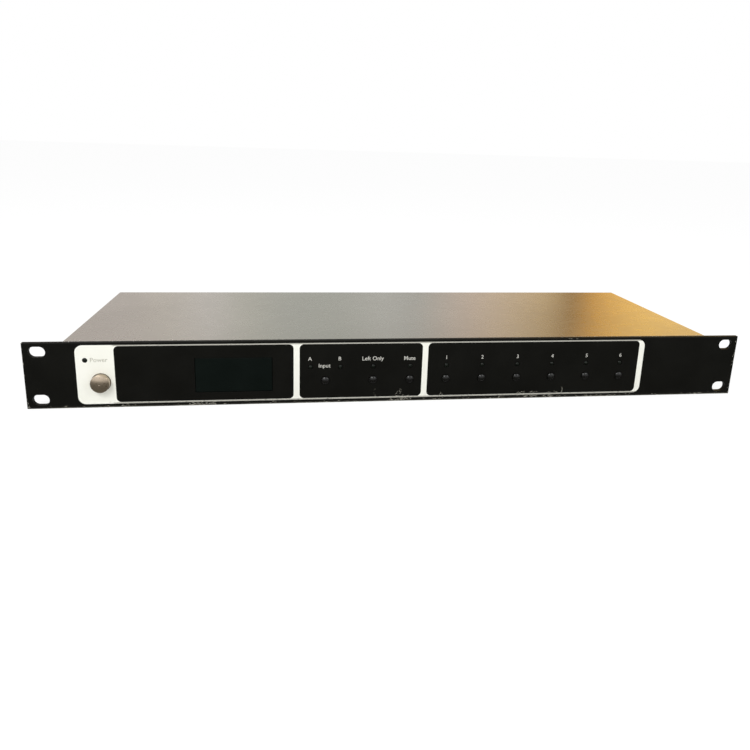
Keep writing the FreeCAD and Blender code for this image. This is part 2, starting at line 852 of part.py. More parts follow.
def make_switch_bracket():
    body = new_body("bracket_body")
    sketch = sketch_on(body, "YZ_Plane", power_x - bracket_half_width, "bracket_profile")
    top = power_lamp_z + lamp_flange_radius + lead_spread
    outline(sketch, [
        (bracket_front, floor_top),
        (switch_front + bracket_foot, floor_top),
        (switch_front + bracket_foot, floor_top + sheet_thick),
        (switch_front, floor_top + sheet_thick),
        (switch_front, top),
        (bracket_front, top),
    ])
    pad(body, sketch, bracket_half_width * 2)

    def bracket_openings(sketch):
        circle(sketch, (power_x, power_z), power_stem_radius + bracket_hole_gap)
        circle(sketch, (power_lamp_x, power_lamp_z), lead_spread)

    holes_through(body, "bracket_holes", bracket_front, sheet_thick, bracket_openings)
    node(body, "switch_bracket")


# Keys and lamps

switch_face = front_board_gap - key_switch_height


def make_key(name, spot):
    face = panel_front - key_proud
    cap_length = key_proud + panel_thick
    cap = domed_rod(name + "_cap", (spot, face, key_z), key_radius, cap_length, key_dome)
    flange = rod(name + "_flange", (spot, 0, key_z), key_flange_radius, key_flange_thick)
    stem_length = switch_face + key_stem_entry - key_flange_thick
    stem = rod(name + "_stem", (spot, key_flange_thick, key_z), key_stem_radius, stem_length)
    node(fuse(name + "_whole", cap + [flange, stem]), name + "_button")


def make_key_switches():
    switches = []
    half = key_switch_side / 2
    for name, spot in key_places.items():
        low = (spot - half, switch_face, key_z - half)
        high = (spot + half, front_board_gap, key_z + half)
        solid = block(name + "_switch_block", low, high)
        well_depth = key_stem_entry + key_travel + stem_gap
        well = rod(
            name + "_switch_well", (spot, switch_face, key_z), key_stem_radius + stem_gap, well_depth,
        )
        switches.append(cut(name + "_switch", solid, [well]))
    node(group("key_switch_set", switches), "key_switches")


def lamp(name, spot_x, spot_z, board_face):
    """A round lamp whose flange rests on the panel's rear face, with two leads to its board."""
    tip = panel_front - lamp_proud + lamp_radius
    dome = ball(name + "_dome", (spot_x, tip, spot_z), lamp_radius)
    barrel = rod(name + "_barrel", (spot_x, tip, spot_z), lamp_radius, -tip)
    flange = rod(name + "_flange", (spot_x, 0, spot_z), lamp_flange_radius, lamp_flange_thick)
    leads = []
    for side in (-1, 1):
        lead_x = spot_x + lead_spread / 2 * side
        low = (lead_x - lead_side / 2, lamp_flange_thick, spot_z - lead_side / 2)
        high = (lead_x + lead_side / 2, board_face, spot_z + lead_side / 2)
        leads.append(block(name + "_lead_" + str(side + 2), low, high))
    return fuse(name, [dome, barrel, flange] + leads)


def make_lamps():
    lamps = [lamp("power_lamp", power_lamp_x, power_lamp_z, switch_front)]
    for index, spot in enumerate(board_lamp_x):
        lamps.append(lamp("lamp_" + str(index + 1), spot, lamp_z, front_board_gap))
    node(group("lamp_set", lamps), "status_leds")


# Front board

wall_cut_left = window_left - wall_cut_margin
wall_cut_right = last_channel_x + wall_cut_margin
wall_cut_low = window_low - window_flange - wall_cut_gap
wall_cut_high = window_high + window_flange + wall_cut_gap + wall_cut_rise
front_board_left = wall_cut_left - board_overhang
front_board_right = wall_cut_right + board_overhang
front_board_low = floor_top + board_clearance
front_board_high = tray_top - board_clearance
lower_spacer_z = wall_cut_low - spacer_edge - spacer_radius
upper_spacer_z = wall_cut_high + spacer_edge + spacer_radius
front_spacer_places = []
for spot_x in (
    wall_cut_left - board_overhang / 2,
    (window_right + lamp_a_x) / 2,
    (mute_x + first_channel_x) / 2,
    wall_cut_right + board_overhang / 2,
):
    for spot_z in (lower_spacer_z, upper_spacer_z):
        front_spacer_places.append((spot_x, spot_z))


def make_front_board():
    body = new_body("front_board_body")
    plate_from_front(
        body, "front_board_outline", front_board_gap, board_thick,
        (front_board_left, front_board_low), (front_board_right, front_board_high),
    )

    def screw_holes(sketch):
        for spot in front_spacer_places:
            circle(sketch, spot, hole_radius)

    holes_through(body, "front_board_holes", front_board_gap, board_thick, screw_holes)
    half = lamp_flange_radius + lead_spread / 2
    lamp_board = block(
        "lamp_board",
        (power_lamp_x - half, switch_front, power_lamp_z - half),
        (power_lamp_x + half, switch_front + board_thick, power_lamp_z + half),
    )
    node(group("front_board_set", [body, lamp_board]), "front_board")


def front_spacers():
    spacers = []
    for index, (spot_x, spot_z) in enumerate(front_spacer_places):
        start = (spot_x, sheet_thick, spot_z)
        length = front_board_gap - sheet_thick
        spacers.append(ring("front_spacer_" + str(index + 1), start, spacer_radius, tapped_radius, length))
    return spacers


# Case

cover_screw_ys = [
    cover_gap + cover_screw_inset,
    (cover_gap + case_depth) / 2,
    case_depth - cover_screw_inset,
]
rear_screw_places = []
for side in (-1, 1):
    for level in (-1, 1):
        rear_screw_places.append(((inner_half - lip_width / 2) * side, rear_screw_spread / 2 * level))
seam_left = input_places["input_b_right"] + socket_width / 2
seam_right = output_x[0] - jack_block_width / 2
seam_x = (seam_left + seam_right) / 2
seam_screw_places = []
for side in (-1, 1):
    for level in (-1, 1):
        seam_screw_places.append((seam_x + strap_screw_offset * side, rear_screw_spread / 2 * level))
stack_top = floor_top + pad_thick * 2 + core_height + dish_thick


def make_tray():
    body = new_body("tray_body")
    floor = sketch_on(body, "XY_Plane", case_bottom, "tray_outline")
    rectangle(floor, (-tray_half, 0), (tray_half, rear_inner))
    pad(body, floor, tray_top - case_bottom)

    inside = sketch_on(body, "XY_Plane", tray_top, "tray_inside")
    rectangle(inside, (-inner_half, sheet_thick), (inner_half, lip_front))
    pocket(body, inside, tray_top - floor_top)

    def rear_opening(sketch):
        low = (-inner_half + lip_width, floor_top + lip_low)
        rectangle(sketch, low, (inner_half - lip_width, tray_top + sheet_thick))

    def front_opening(sketch):
        rectangle(sketch, (wall_cut_left, wall_cut_low), (wall_cut_right, wall_cut_high))
        flange_reach = power_radius + power_hole_gap + power_flange_lap
        circle(sketch, (power_x, power_z), flange_reach + flange_gap)
        circle(sketch, (power_lamp_x, power_lamp_z), lamp_flange_radius + lead_spread / 2)
        for spot in stud_places:
            circle(sketch, spot, stud_radius + screw_clearance)

    holes_through(body, "tray_rear_opening", lip_front, sheet_thick, rear_opening)
    holes_through(body, "tray_front_opening", 0, sheet_thick, front_opening)

    def lip_holes(sketch):
        for spot in rear_screw_places:
            circle(sketch, spot, tapped_radius)

    holes_through(body, "tray_lip_holes", lip_front, sheet_thick, lip_holes)

    for side, label in ((-1, "left"), (1, "right")):
        start = -tray_half if side < 0 else inner_half
        sketch = sketch_on(body, "YZ_Plane", start, "tray_side_holes_" + label)
        for spot_y in cover_screw_ys:
            circle(sketch, (spot_y, cover_screw_height), tapped_radius)
        pocket(body, sketch, sheet_thick, True)

    stud = sketch_on(body, "XY_Plane", floor_top, "transformer_stud")
    circle(stud, (transformer_x, transformer_y), big_stud_radius)
    pad(body, stud, stack_top + big_nut_height + big_stud_spare - floor_top)
    node(body, "chassis_tray")


def make_cover():
    body = new_body("cover_body")
    sketch = sketch_on(body, "XZ_Plane", cover_gap, "cover_profile")
    outer = case_half
    inner = case_half - sheet_thick
    low = case_bottom + skirt_gap
    outline(sketch, [
        (-outer, low), (-inner, low), (-inner, case_top - sheet_thick),
        (inner, case_top - sheet_thick), (inner, low), (outer, low),
        (outer, case_top), (-outer, case_top),
    ])
    folded = pad(body, sketch, case_depth - cover_gap, True)
    doc.recompute()
    length = (case_depth - cover_gap).value

    def is_bend(edge):
        box = edge.BoundBox
        at_top = box.ZMin > case_top.value - NEAR
        at_side = abs(abs(box.Center.x) - outer.value) < NEAR
        return at_top and at_side and abs(box.YLength - length) < NEAR

    bend = body.newObject("PartDesign::Fillet", "cover_bend")
    bend.Base = (folded, edges_where(folded.Shape, is_bend))
    bind(bend, "Radius", bend_radius)
    for side, label in ((-1, "left"), (1, "right")):
        start = -outer if side < 0 else inner
        holes = sketch_on(body, "YZ_Plane", start, "cover_side_holes_" + label)
        for spot_y in cover_screw_ys:
            circle(holes, (spot_y, cover_screw_height), hole_radius)
        pocket(body, holes, sheet_thick, True)
    node(body, "top_cover")


def make_rear_panel():
    """An input plate and an output plate side by side, joined by a strap behind their seam."""
    def input_holes(sketch):
        for spot in input_places.values():
            circle(sketch, (spot, socket_z), socket_body_radius + rear_hole_gap)
            for screw in socket_screw_spots(spot):
                circle(sketch, screw, tapped_radius)
        half_wide = inlet_body_width / 2 + rear_hole_gap
        half_high = inlet_body_height / 2 + rear_hole_gap
        rectangle(sketch, (inlet_x - half_wide, -half_high), (inlet_x + half_wide, half_high))
        for side in (-1, 1):
            circle(sketch, (inlet_x + inlet_screw_spread / 2 * side, 0), tapped_radius)

    def output_holes(sketch):
        for spot in output_x:
            for level in jack_levels:
                circle(sketch, (spot, level), jack_nose_radius + rear_hole_gap)

    corner, seam = rear_screw_places, seam_screw_places
    plates = (
        ("input_plate", -tray_half, seam_x, input_holes, corner[:2] + seam[:2]),
        ("output_plate", seam_x, tray_half, output_holes, seam[2:] + corner[2:]),
    )
    pieces = []
    for name, left, right, connector_holes, screws in plates:
        body = new_body(name)
        plate_from_front(
            body, name + "_outline", rear_inner, sheet_thick,
            (left, case_bottom), (right, tray_top),
        )

        def openings(sketch):
            connector_holes(sketch)
            for spot in screws:
                circle(sketch, spot, hole_radius)

        holes_through(body, name + "_openings", rear_inner, sheet_thick, openings)
        pieces.append(body)
    strap_low = (seam_x - strap_width / 2, lip_front, floor_top + lip_low)
    strap_high = (seam_x + strap_width / 2, rear_inner, tray_top)
    strap_holes = []
    for index, (spot_x, spot_z) in enumerate(seam_screw_places):
        name = "strap_hole_" + str(index + 1)
        strap_holes.append(rod(name, (spot_x, lip_front, spot_z), tapped_radius, sheet_thick))
    pieces.append(cut("joint_strap", block("strap_blank", strap_low, strap_high), strap_holes))
    node(group("rear_plates", pieces), "rear_panel")


def make_case_screws():
    screws = []
    for side, label in ((-1, "left"), (1, "right")):
        for index, spot_y in enumerate(cover_screw_ys):
            name = "cover_screw_" + label + "_" + str(index + 1)
            seat = (case_half * side, spot_y, cover_screw_height)
            screws.append(pan_screw(name, seat, "x", -side))
    for index, (spot_x, spot_z) in enumerate(rear_screw_places + seam_screw_places):
        name = "rear_screw_" + str(index + 1)
        screws.append(pan_screw(name, (spot_x, case_depth, spot_z), "y", -1))
    node(group("case_screw_set", screws), "case_screws")


# Transformer


def make_transformer():
    body = new_body("transformer_body")
    sketch = sketch_on(body, "XZ_Plane", 0, "core_profile")
    rectangle(sketch, (core_bore, 0), (core_radius, core_height))
    turn = body.newObject("PartDesign::Revolution", "core_turned")
    turn.Profile = sketch
    turn.ReferenceAxis = (sketch, ["V_Axis"])
    turn.Angle = 360
    doc.recompute()
    limit = core_height.value

    def is_rim(edge):
        box = edge.BoundBox
        flat = box.ZLength < NEAR
        return flat and box.XLength > NEAR and (box.ZMin < NEAR or box.ZMin > limit - NEAR)

    rounding = body.newObject("PartDesign::Fillet", "core_rounding")
    rounding.Base = (turn, edges_where(turn.Shape, is_rim))
    bind(rounding, "Radius", core_rounding)
    place(body, (transformer_x, transformer_y, floor_top + pad_thick))
    node(body, "toroidal_transformer")

    pads = []
    for name, level in (("lower_pad", floor_top), ("upper_pad", floor_top + pad_thick + core_height)):
        start = (transformer_x, transformer_y, level)
        outer = core_radius - core_rounding
        inner = core_bore + core_rounding
        pads.append(ring(name, start, outer, inner, pad_thick, "z"))
    node(group("pad_set", pads), "transformer_pads")

    dish_start = (transformer_x, transformer_y, stack_top - dish_thick)
    washer = ring("dish", dish_start, dish_radius, big_stud_radius + screw_clearance, dish_thick, "z")
    node(washer, "transformer_washer")
    nut_start = (transformer_x, transformer_y, stack_top)
    solid = hexagon("big_nut_hex", nut_start, big_nut_radius, big_nut_height, "z")
    bore = rod("big_nut_bore", nut_start, big_stud_radius + thread_gap, big_nut_height, "z")
    node(cut("big_nut", solid, [bore]), "transformer_nut")


# Mains inlet

inlet_face = case_depth + inlet_flange_thick
mouth_bottom = inlet_face - mouth_depth
drawer_back = inlet_face - drawer_depth


def make_inlet():
    body = new_body("inlet_body")
    half_wide = inlet_body_width / 2
    half_high = inlet_body_height / 2
    plate_from_front(
        body, "inlet_core", inlet_rear, case_depth - inlet_rear,
        (inlet_x - half_wide, -half_high), (inlet_x + half_wide, half_high),
    )
    plate_from_front(
        body, "inlet_flange", case_depth, inlet_flange_thick,
        (inlet_x - inlet_flange_width / 2, -inlet_flange_height / 2),
        (inlet_x + inlet_flange_width / 2, inlet_flange_height / 2),
    )

    def mouth(sketch):
        left = inlet_x - mouth_width / 2
        right = inlet_x + mouth_width / 2
        low = mouth_z - mouth_height / 2
        high = mouth_z + mouth_height / 2
        outline(sketch, [
            (left, low), (right, low), (right, high - mouth_corner), (right - mouth_corner, high),
            (left + mouth_corner, high), (left, high - mouth_corner),
        ])

    def drawer_pocket(sketch):
        wide = drawer_width / 2 + drawer_gap
        high = drawer_height / 2 + drawer_gap
        rectangle(sketch, (inlet_x - wide, drawer_z - high), (inlet_x + wide, drawer_z + high))

    def screw_holes(sketch):
        for side in (-1, 1):
            circle(sketch, (inlet_x + inlet_screw_spread / 2 * side, 0), hole_radius)

    holes_through(body, "inlet_mouth", mouth_bottom, mouth_depth, mouth)
    holes_through(
        body, "inlet_drawer_pocket", drawer_back - drawer_gap, drawer_depth + drawer_gap, drawer_pocket,
    )
    holes_through(body, "inlet_screw_holes", case_depth, inlet_flange_thick, screw_holes)
    node(body, "iec_inlet")

    pins = []
    for name, spot_x, spot_z in (
        ("live_pin", inlet_x - blade_spread / 2, mouth_z - blade_drop),
        ("neutral_pin", inlet_x + blade_spread / 2, mouth_z - blade_drop),
        ("earth_pin", inlet_x, mouth_z + blade_drop),
    ):
        blade = block(
            name + "_blade",
            (spot_x - blade_width / 2, mouth_bottom, spot_z - blade_height / 2),
            (spot_x + blade_width / 2, inlet_face - blade_setback, spot_z + blade_height / 2),
        )
        tail = block(
            name + "_tail",
            (spot_x - terminal_thick / 2, inlet_rear - blade_tail, spot_z - blade_height / 2),
            (spot_x + terminal_thick / 2, inlet_rear, spot_z + blade_height / 2),
        )
        pins += [blade, tail]
    node(group("inlet_pin_set", pins), "inlet_pins")


def make_fuse_drawer():
    half_wide = drawer_width / 2
    half_high = drawer_height / 2
    tray = block(
        "drawer_tray",
        (inlet_x - half_wide, drawer_back, drawer_z - half_high),
        (inlet_x + half_wide, inlet_face, drawer_z + half_high),
    )
    face = block(
        "drawer_face",
        (inlet_x - half_wide - drawer_face_lap, inlet_face, drawer_z - half_high - drawer_face_lap),
        (
            inlet_x + half_wide + drawer_face_lap,
            inlet_face + drawer_face_thick,
            drawer_z + half_high + drawer_face_lap,
        ),
    )
    grip = block(
        "drawer_grip_bar",
        (inlet_x - half_wide / 2, inlet_face + drawer_face_thick, drawer_z + half_high - drawer_face_lap),
        (
            inlet_x + half_wide / 2,
            inlet_face + drawer_face_thick + drawer_grip,
            drawer_z + half_high + drawer_face_lap,
        ),
    )
    trough_half = fuse_radius + fuse_gap
    fuse_y = drawer_back + drawer_wall + trough_half
    trough = block(
        "drawer_trough",
        (inlet_x - fuse_length / 2 - fuse_gap, fuse_y - trough_half, drawer_z - half_high + drawer_floor),
        (inlet_x + fuse_length / 2 + fuse_gap, fuse_y + trough_half, drawer_z + half_high + drawer_grip),
    )
    solid = fuse("drawer_solid", [tray, face, grip])
    node(cut("drawer_whole", solid, [trough]), "fuse_drawer")

    fuse_z = drawer_z - half_high + drawer_floor + fuse_radius
    glass = rod("fuse_tube", (inlet_x - fuse_length / 2, fuse_y, fuse_z), fuse_radius, fuse_length, "x")
    node(glass, "mains_fuse")


def make_earth_terminal():
    start = (earth_x, earth_y, floor_top)
    stud = rod("earth_stud", start, stud_radius, earth_height, "z")
    lug = rod("earth_lug", start, earth_lug_radius, earth_lug_thick, "z")
    nut_start = (earth_x, earth_y, floor_top + earth_lug_thick)
    nut = hexagon("earth_nut", nut_start, nut_radius, nut_height, "z")
    tongue = block(
        "earth_tongue",
        (earth_x - earth_tongue_width / 2, earth_y - earth_tongue_length, floor_top),
        (earth_x + earth_tongue_width / 2, earth_y, floor_top + earth_lug_thick),
    )
    node(fuse("earth_whole", [stud, lug, nut, tongue]), "earth_terminal")


# Input sockets


def socket_screw_spots(spot):
    wide = socket_screw_wide / 2
    high = socket_screw_high / 2
    return [(spot - wide, socket_z + high), (spot + wide, socket_z - high)]


socket_face = case_depth + socket_flange_thick
recess_bottom = socket_face - socket_recess_depth
core_face = socket_face - socket_core_setback
socket_rear = case_depth - socket_body_depth


def contact_spots(spot):
    """The three contacts of a socket: two above its centre and one below."""
    raised = socket_z + contact_circle / 2
    return [
        (spot - contact_circle, raised),
        (spot + contact_circle, raised),
        (spot, socket_z - contact_circle),
    ]


def make_socket(name, spot):
    body = new_body(name + "_body")
    half_wide = socket_width / 2
    half_high = socket_height / 2
    plate_from_front(
        body, name + "_flange", case_depth, socket_flange_thick,
        (spot - half_wide, socket_z - half_high), (spot + half_wide, socket_z + half_high),
    )
    barrel = sketch_on(body, "XZ_Plane", socket_rear, name + "_barrel")
    circle(barrel, (spot, socket_z), socket_body_radius)
    pad(body, barrel, socket_body_depth, True)

    def recess(sketch):
        circle(sketch, (spot, socket_z), socket_recess_radius)

    def screw_holes(sketch):
        for screw in socket_screw_spots(spot):
            circle(sketch, screw, hole_radius)

    def latch_pocket(sketch):
        wide = latch_width / 2 + latch_gap
        low = (spot - wide, socket_z + latch_low)
        high = (spot + wide, socket_z + latch_high + latch_gap)
        rectangle(sketch, low, high)

    def latch_channel(sketch):
        wide = latch_stem_width / 2 + latch_gap
        low = (spot - wide, socket_z + latch_low)
        high = (spot + wide, socket_z + latch_low + latch_stem_thick + latch_gap)
        rectangle(sketch, low, high)

    holes_through(body, name + "_recess", recess_bottom, socket_recess_depth, recess)
    holes_through(body, name + "_screw_holes", case_depth, socket_flange_thick, screw_holes)
    pocket_depth = latch_entry + latch_travel + latch_gap
    holes_through(body, name + "_latch_pocket", socket_face - pocket_depth, pocket_depth, latch_pocket)
    channel_depth = latch_stem_length + latch_travel + latch_gap + latch_entry
    holes_through(
        body, name + "_latch_channel", socket_face - channel_depth, channel_depth, latch_channel,
    )
    node(body, name + "_socket")


def make_inserts():
    """The round insulators inside the sockets: a disc with three blocks, each with a contact hole."""
    inserts = []
    hole_bottom = core_face - contact_depth
    # Half way between the low hole and the two high ones
    seam_z = socket_z - contact_circle / 4
    for name, spot in input_places.items():
        start = (spot, recess_bottom, socket_z)
        disc_thick = hole_bottom - recess_bottom
        inserts.append(rod(name + "_insert_disc", start, socket_core_radius, disc_thick))
        left, right = spot - socket_core_radius, spot + socket_core_radius
        low, high = socket_z - socket_core_radius, socket_z + socket_core_radius
        reaches = [(left, seam_z, spot, high), (spot, seam_z, right, high), (left, low, right, seam_z)]
        for index, (spot_x, spot_z) in enumerate(contact_spots(spot)):
            label = name + "_contact_" + str(index + 1)
            round_start = (spot, hole_bottom, socket_z)
            around = rod(label + "_round", round_start, socket_core_radius, contact_depth)
            x_low, z_low, x_high, z_high = reaches[index]
            reach = block(label + "_reach", (x_low, hole_bottom, z_low), (x_high, core_face, z_high))
            hole = rod(label, (spot_x, hole_bottom, spot_z), contact_radius, contact_depth)
            inserts.append(cut(label + "_block", common(label + "_part", [around, reach]), [hole]))
    node(group("insert_set", inserts), "socket_inserts")


def make_latch(name, spot):
    tab = block(
        name + "_latch_tab",
        (spot - latch_width / 2, socket_face - latch_entry, socket_z + latch_low),
        (spot + latch_width / 2, socket_face + latch_proud, socket_z + latch_high),
    )
    stem = block(
        name + "_latch_stem",
        (
            spot - latch_stem_width / 2,
            socket_face - latch_entry - latch_stem_length,
            socket_z + latch_low,
        ),
        (
            spot + latch_stem_width / 2,
            socket_face - latch_entry,
            socket_z + latch_low + latch_stem_thick,
        ),
    )
    node(fuse(name + "_latch_whole", [tab, stem]), name + "_latch")


def make_connector_screws():
    screws = []
    for side, label in ((-1, "left"), (1, "right")):
        seat = (inlet_x + inlet_screw_spread / 2 * side, inlet_face, as_size(0))
        screws.append(pan_screw("inlet_screw_" + label, seat, "y", -1))
    for name, spot in input_places.items():
        for index, (spot_x, spot_z) in enumerate(socket_screw_spots(spot)):
            screw_name = name + "_screw_" + str(index + 1)
            screws.append(pan_screw(screw_name, (spot_x, socket_face, spot_z), "y", -1))
    node(group("connector_screw_set", screws), "connector_screws")


# Output jacks

jack_mouth = case_depth + jack_nose_proud


def make_jack_block(index, spot):
    name = "output_" + str(index + 1)
    solid = block(
        name + "_housing",
        (spot - jack_block_width / 2, rear_inner - jack_block_depth, main_board_top),
        (spot + jack_block_width / 2, rear_inner, jack_high_z + jack_head_room),
    )
    noses = []
    bores = []
    for level, label in zip(jack_levels, ("lower", "upper")):
        start = (spot, rear_inner, level)
        noses.append(rod(name + "_nose_" + label, start, jack_nose_radius, jack_mouth - rear_inner))
        bore_start = (spot, jack_mouth - jack_bore_depth, level)
        bores.append(rod(name + "_bore_" + label, bore_start, jack_bore, jack_bore_depth))
    whole = fuse(name + "_solid", [solid] + noses)
    node(cut(name + "_drilled", whole, bores), name + "_jacks")


def make_jack_nuts():
    nuts = []
    for index, spot in enumerate(output_x):
        for level, label in zip(jack_levels, ("lower", "upper")):
            name = "jack_nut_" + str(index + 1) + "_" + label
            start = (spot, case_depth, level)
            solid = hexagon(name + "_hex", start, jack_nut_radius, jack_nut_height)
            bore = rod(name + "_bore", start, jack_nose_radius + thread_gap, jack_nut_height)
            nuts.append(cut(name, solid, [bore]))
    node(group("jack_nut_set", nuts), "jack_nuts")


# Main board

main_spacer_xs = [
    main_board_left + main_spacer_inset,
    input_places["input_b_left"] - input_pair_gap / 2,
    (input_places["input_b_right"] + output_first_x) / 2,
    output_x[3] + output_pitch / 2,
    main_board_right - main_spacer_inset,
]
main_spacer_places = []
for spot_x in main_spacer_xs:
    for spot_y in (main_board_front + main_spacer_inset, main_board_rear - main_spacer_inset):
        main_spacer_places.append((spot_x, spot_y))


def make_main_board():
    body = new_body("main_board_body")
    sketch = sketch_on(body, "XY_Plane", main_board_under, "main_board_outline")
    rectangle(sketch, (main_board_left, main_board_front), (main_board_right, main_board_rear))
    pad(body, sketch, board_thick)
    holes = sketch_on(body, "XY_Plane", main_board_top, "main_board_holes")
    for spot in main_spacer_places:
        circle(holes, spot, hole_radius)
    pocket(body, holes, board_thick)
    node(body, "main_board")


def main_spacers():
    spacers = []
    for index, (spot_x, spot_y) in enumerate(main_spacer_places):
        start = (spot_x, spot_y, floor_top)
        name = "main_spacer_" + str(index + 1)
        spacers.append(ring(name, start, spacer_radius, tapped_radius, main_spacer_height, "z"))
    return spacers


def make_board_screws():
    screws = []
    length = board_thick + main_spacer_height - screw_tip_gap
    for index, (spot_x, spot_z) in enumerate(front_spacer_places):
        name = "front_board_screw_" + str(index + 1)
        screws.append(pan_screw(name, (spot_x, front_board_rear, spot_z), "y", -1, length))
    for index, (spot_x, spot_y) in enumerate(main_spacer_places):
        name = "main_board_screw_" + str(index + 1)
        screws.append(pan_screw(name, (spot_x, spot_y, main_board_top), "z", -1, length))
    node(group("board_screw_set", screws), "board_screws")


def standing(name, centre_x, centre_y, length_x, length_y, height):
    """A block standing on the main board, placed by its middle."""
    low = (centre_x - length_x / 2, centre_y - length_y / 2, main_board_top)
    high = (centre_x + length_x / 2, centre_y + length_y / 2, main_board_top + height)
    return block(name, low, high)


def make_board_parts():
    relays = []
    chips = []
    cans = []
    for index, spot in enumerate(output_x):
        label = str(index + 1)
        for side in (-1, 1):
            name = "relay_" + label + ("_left" if side < 0 else "_right")
            middle = spot + relay_spread / 2 * side
            relays.append(standing(name, middle, relay_row_y, relay_width, relay_length, relay_height))
        chip_name = "output_chip_" + label
        chips.append(standing(chip_name, spot, chip_row_y, chip_length, chip_width, chip_height))
        can_start = (spot, small_can_row_y, main_board_top)
        cans.append(rod("output_can_" + label, can_start, small_can_radius, small_can_height, "z"))
    for name, spot in input_places.items():
        chips.append(standing(name + "_chip", spot, chip_row_y, chip_length, chip_width, chip_height))
        can_start = (spot, small_can_row_y, main_board_top)
        cans.append(rod(name + "_can", can_start, small_can_radius, small_can_height, "z"))
    for index in range(2):
        start = (large_can_x, large_can_y + large_can_pitch * index, main_board_top)
        cans.append(rod("reservoir_" + str(index + 1), start, large_can_radius, large_can_height, "z"))
    node(group("relay_set", relays), "relays")
    node(group("chip_set", chips), "op_amps")
    node(group("can_set", cans), "capacitors")

    regulators = []
    for index in range(2):
        middle = regulator_x + regulator_pitch * (index - 0.5)
        name = "regulator_" + str(index + 1)
        regulators.append(
            standing(name, middle, regulator_y, regulator_width, regulator_thick, regulator_height)
        )
    node(group("regulator_set", regulators), "voltage_regulators")


def make_heat_sink():
    body = new_body("sink_body")
    front = regulator_y + regulator_thick / 2
    base = sketch_on(body, "XZ_Plane", front, "sink_plate")
    left = regulator_x - sink_length / 2
    right = regulator_x + sink_length / 2
    rectangle(base, (left, main_board_top), (right, main_board_top + sink_height))
    pad(body, base, sink_base, True)
    fin = sketch_on(body, "XZ_Plane", front + sink_base, "sink_fin")
    rectangle(fin, (left, main_board_top), (left + sink_fin_thick, main_board_top + sink_height))
    fin_pad = pad(body, fin, sink_fin_length, True)
    fins = body.newObject("PartDesign::LinearPattern", "sink_fins")
    fins.Originals = [fin_pad]
    fins.Direction = (fin, ["H_Axis"])
    bind(fins, "Length", sink_length - sink_fin_thick)
    fins.Occurrences = sink_fin_count
    body.Tip = fins
    node(body, "heat_sink")


# Headers, ribbon and wiring

header_x = (main_spacer_xs[1] + main_spacer_xs[2]) / 2
front_header_z = lamp_z - header_height / 2
main_header_y = main_board_front + header_setback
power_header_front = main_board_front + main_spacer_inset + head_radius + power_header_gap
power_header_y = power_header_front + power_header_side / 2
power_header_top = main_board_top + power_header_height


def make_headers():
    left = header_x - header_width / 2
    right = header_x + header_width / 2
    front = block(
        "front_header",
        (left, front_board_rear, front_header_z - header_depth / 2),
        (right, front_board_rear + header_height, front_header_z + header_depth / 2),
    )
    rear = block(
        "main_header",
        (left, main_header_y - header_depth / 2, main_board_top),
        (right, main_header_y + header_depth / 2, main_board_top + header_height),
    )
    power = block(
        "power_header",
        (main_board_left, power_header_front, main_board_top),
        (
            main_board_left + power_header_side,
            power_header_front + power_header_side,
            power_header_top,
        ),
    )
    node(group("header_set", [front, rear, power]), "pin_headers")


# How much of a run's length its arc takes, and how far a wire's volume may be off
ARC_SHARE = 0.45
VOLUME_TOLERANCE = 0.02


def rounded_path(points):
    """Straight runs joined by tangent arcs, each arc as large as its two runs allow."""
    edges = []
    start = points[0]
    for before, corner, after in zip(points, points[1:], points[2:]):
        incoming = (corner - before).normalize()
        outgoing = (after - corner).normalize()
        half_turn = incoming.getAngle(outgoing) / 2
        shorter = min((corner - before).Length, (after - corner).Length)
        setback = ARC_SHARE * shorter
        radius = setback / math.tan(half_turn)
        enter = corner - incoming * setback
        leave = corner + outgoing * setback
        bisector = (outgoing - incoming).normalize()
        middle = corner + bisector * (radius / math.cos(half_turn) - radius)
        edges.append(Part.LineSegment(start, enter).toShape())
        edges.append(Part.Arc(enter, middle, leave).toShape())
        start = leave
    edges.append(Part.LineSegment(start, points[-1]).toShape())
    return Part.Wire(edges)


def vectors(points):
    return [Vector(*[as_size(thing).value for thing in point]) for point in points]


def tube(points, radius):
    """A round wire along the rounded path through the points."""
    corners = vectors(points)
    path = rounded_path(corners)
    circle_edge = Part.Circle(corners[0], corners[1] - corners[0], as_size(radius).value).toShape()
    solid = path.makePipeShell([Part.Wire(circle_edge)], True, False)
    expected = math.pi * as_size(radius).value ** 2 * path.Length
    if abs(solid.Volume - expected) > VOLUME_TOLERANCE * expected:
        raise ValueError("a wire's volume differs from its section times its length")
    return solid


def strap(points, width, thick):
    """A flat ribbon along the rounded path, its width along X."""
    corners = vectors(points)
    path = rounded_path(corners)
    along = (corners[1] - corners[0]).normalize()
    rise = along.cross(X_AXIS) * (thick.value / 2)
    reach = X_AXIS * (width.value / 2)
    start = corners[0]
    frame = [start - reach - rise, start + reach - rise, start + reach + rise, start - reach + rise]
    section = Part.makePolygon(frame + frame[:1])
    return path.makePipeShell([section], True, False)


def shape_feature(name, shape):
    item = doc.addObject("Part::Feature", name)
    item.Shape = shape
    item.Placement = FreeCAD.Placement()
    return item


def make_ribbon():
    start_y = front_board_rear + header_height
    end_z = main_board_top + header_height
    bow = front_header_z + ribbon_bow
    shape = strap(
        [
            (header_x, start_y, front_header_z),
            (header_x, start_y + ribbon_exit, front_header_z),
            (header_x, (start_y + main_header_y + ribbon_exit) / 2, bow),
            (header_x, main_header_y, bow),
            (header_x, main_header_y, end_z),
        ],
        ribbon_width, ribbon_thick,
    )
    node(shape_feature("ribbon_shape", shape), "ribbon_cable")


# Routes of the wires, in wire radii, for the two wires of each pair

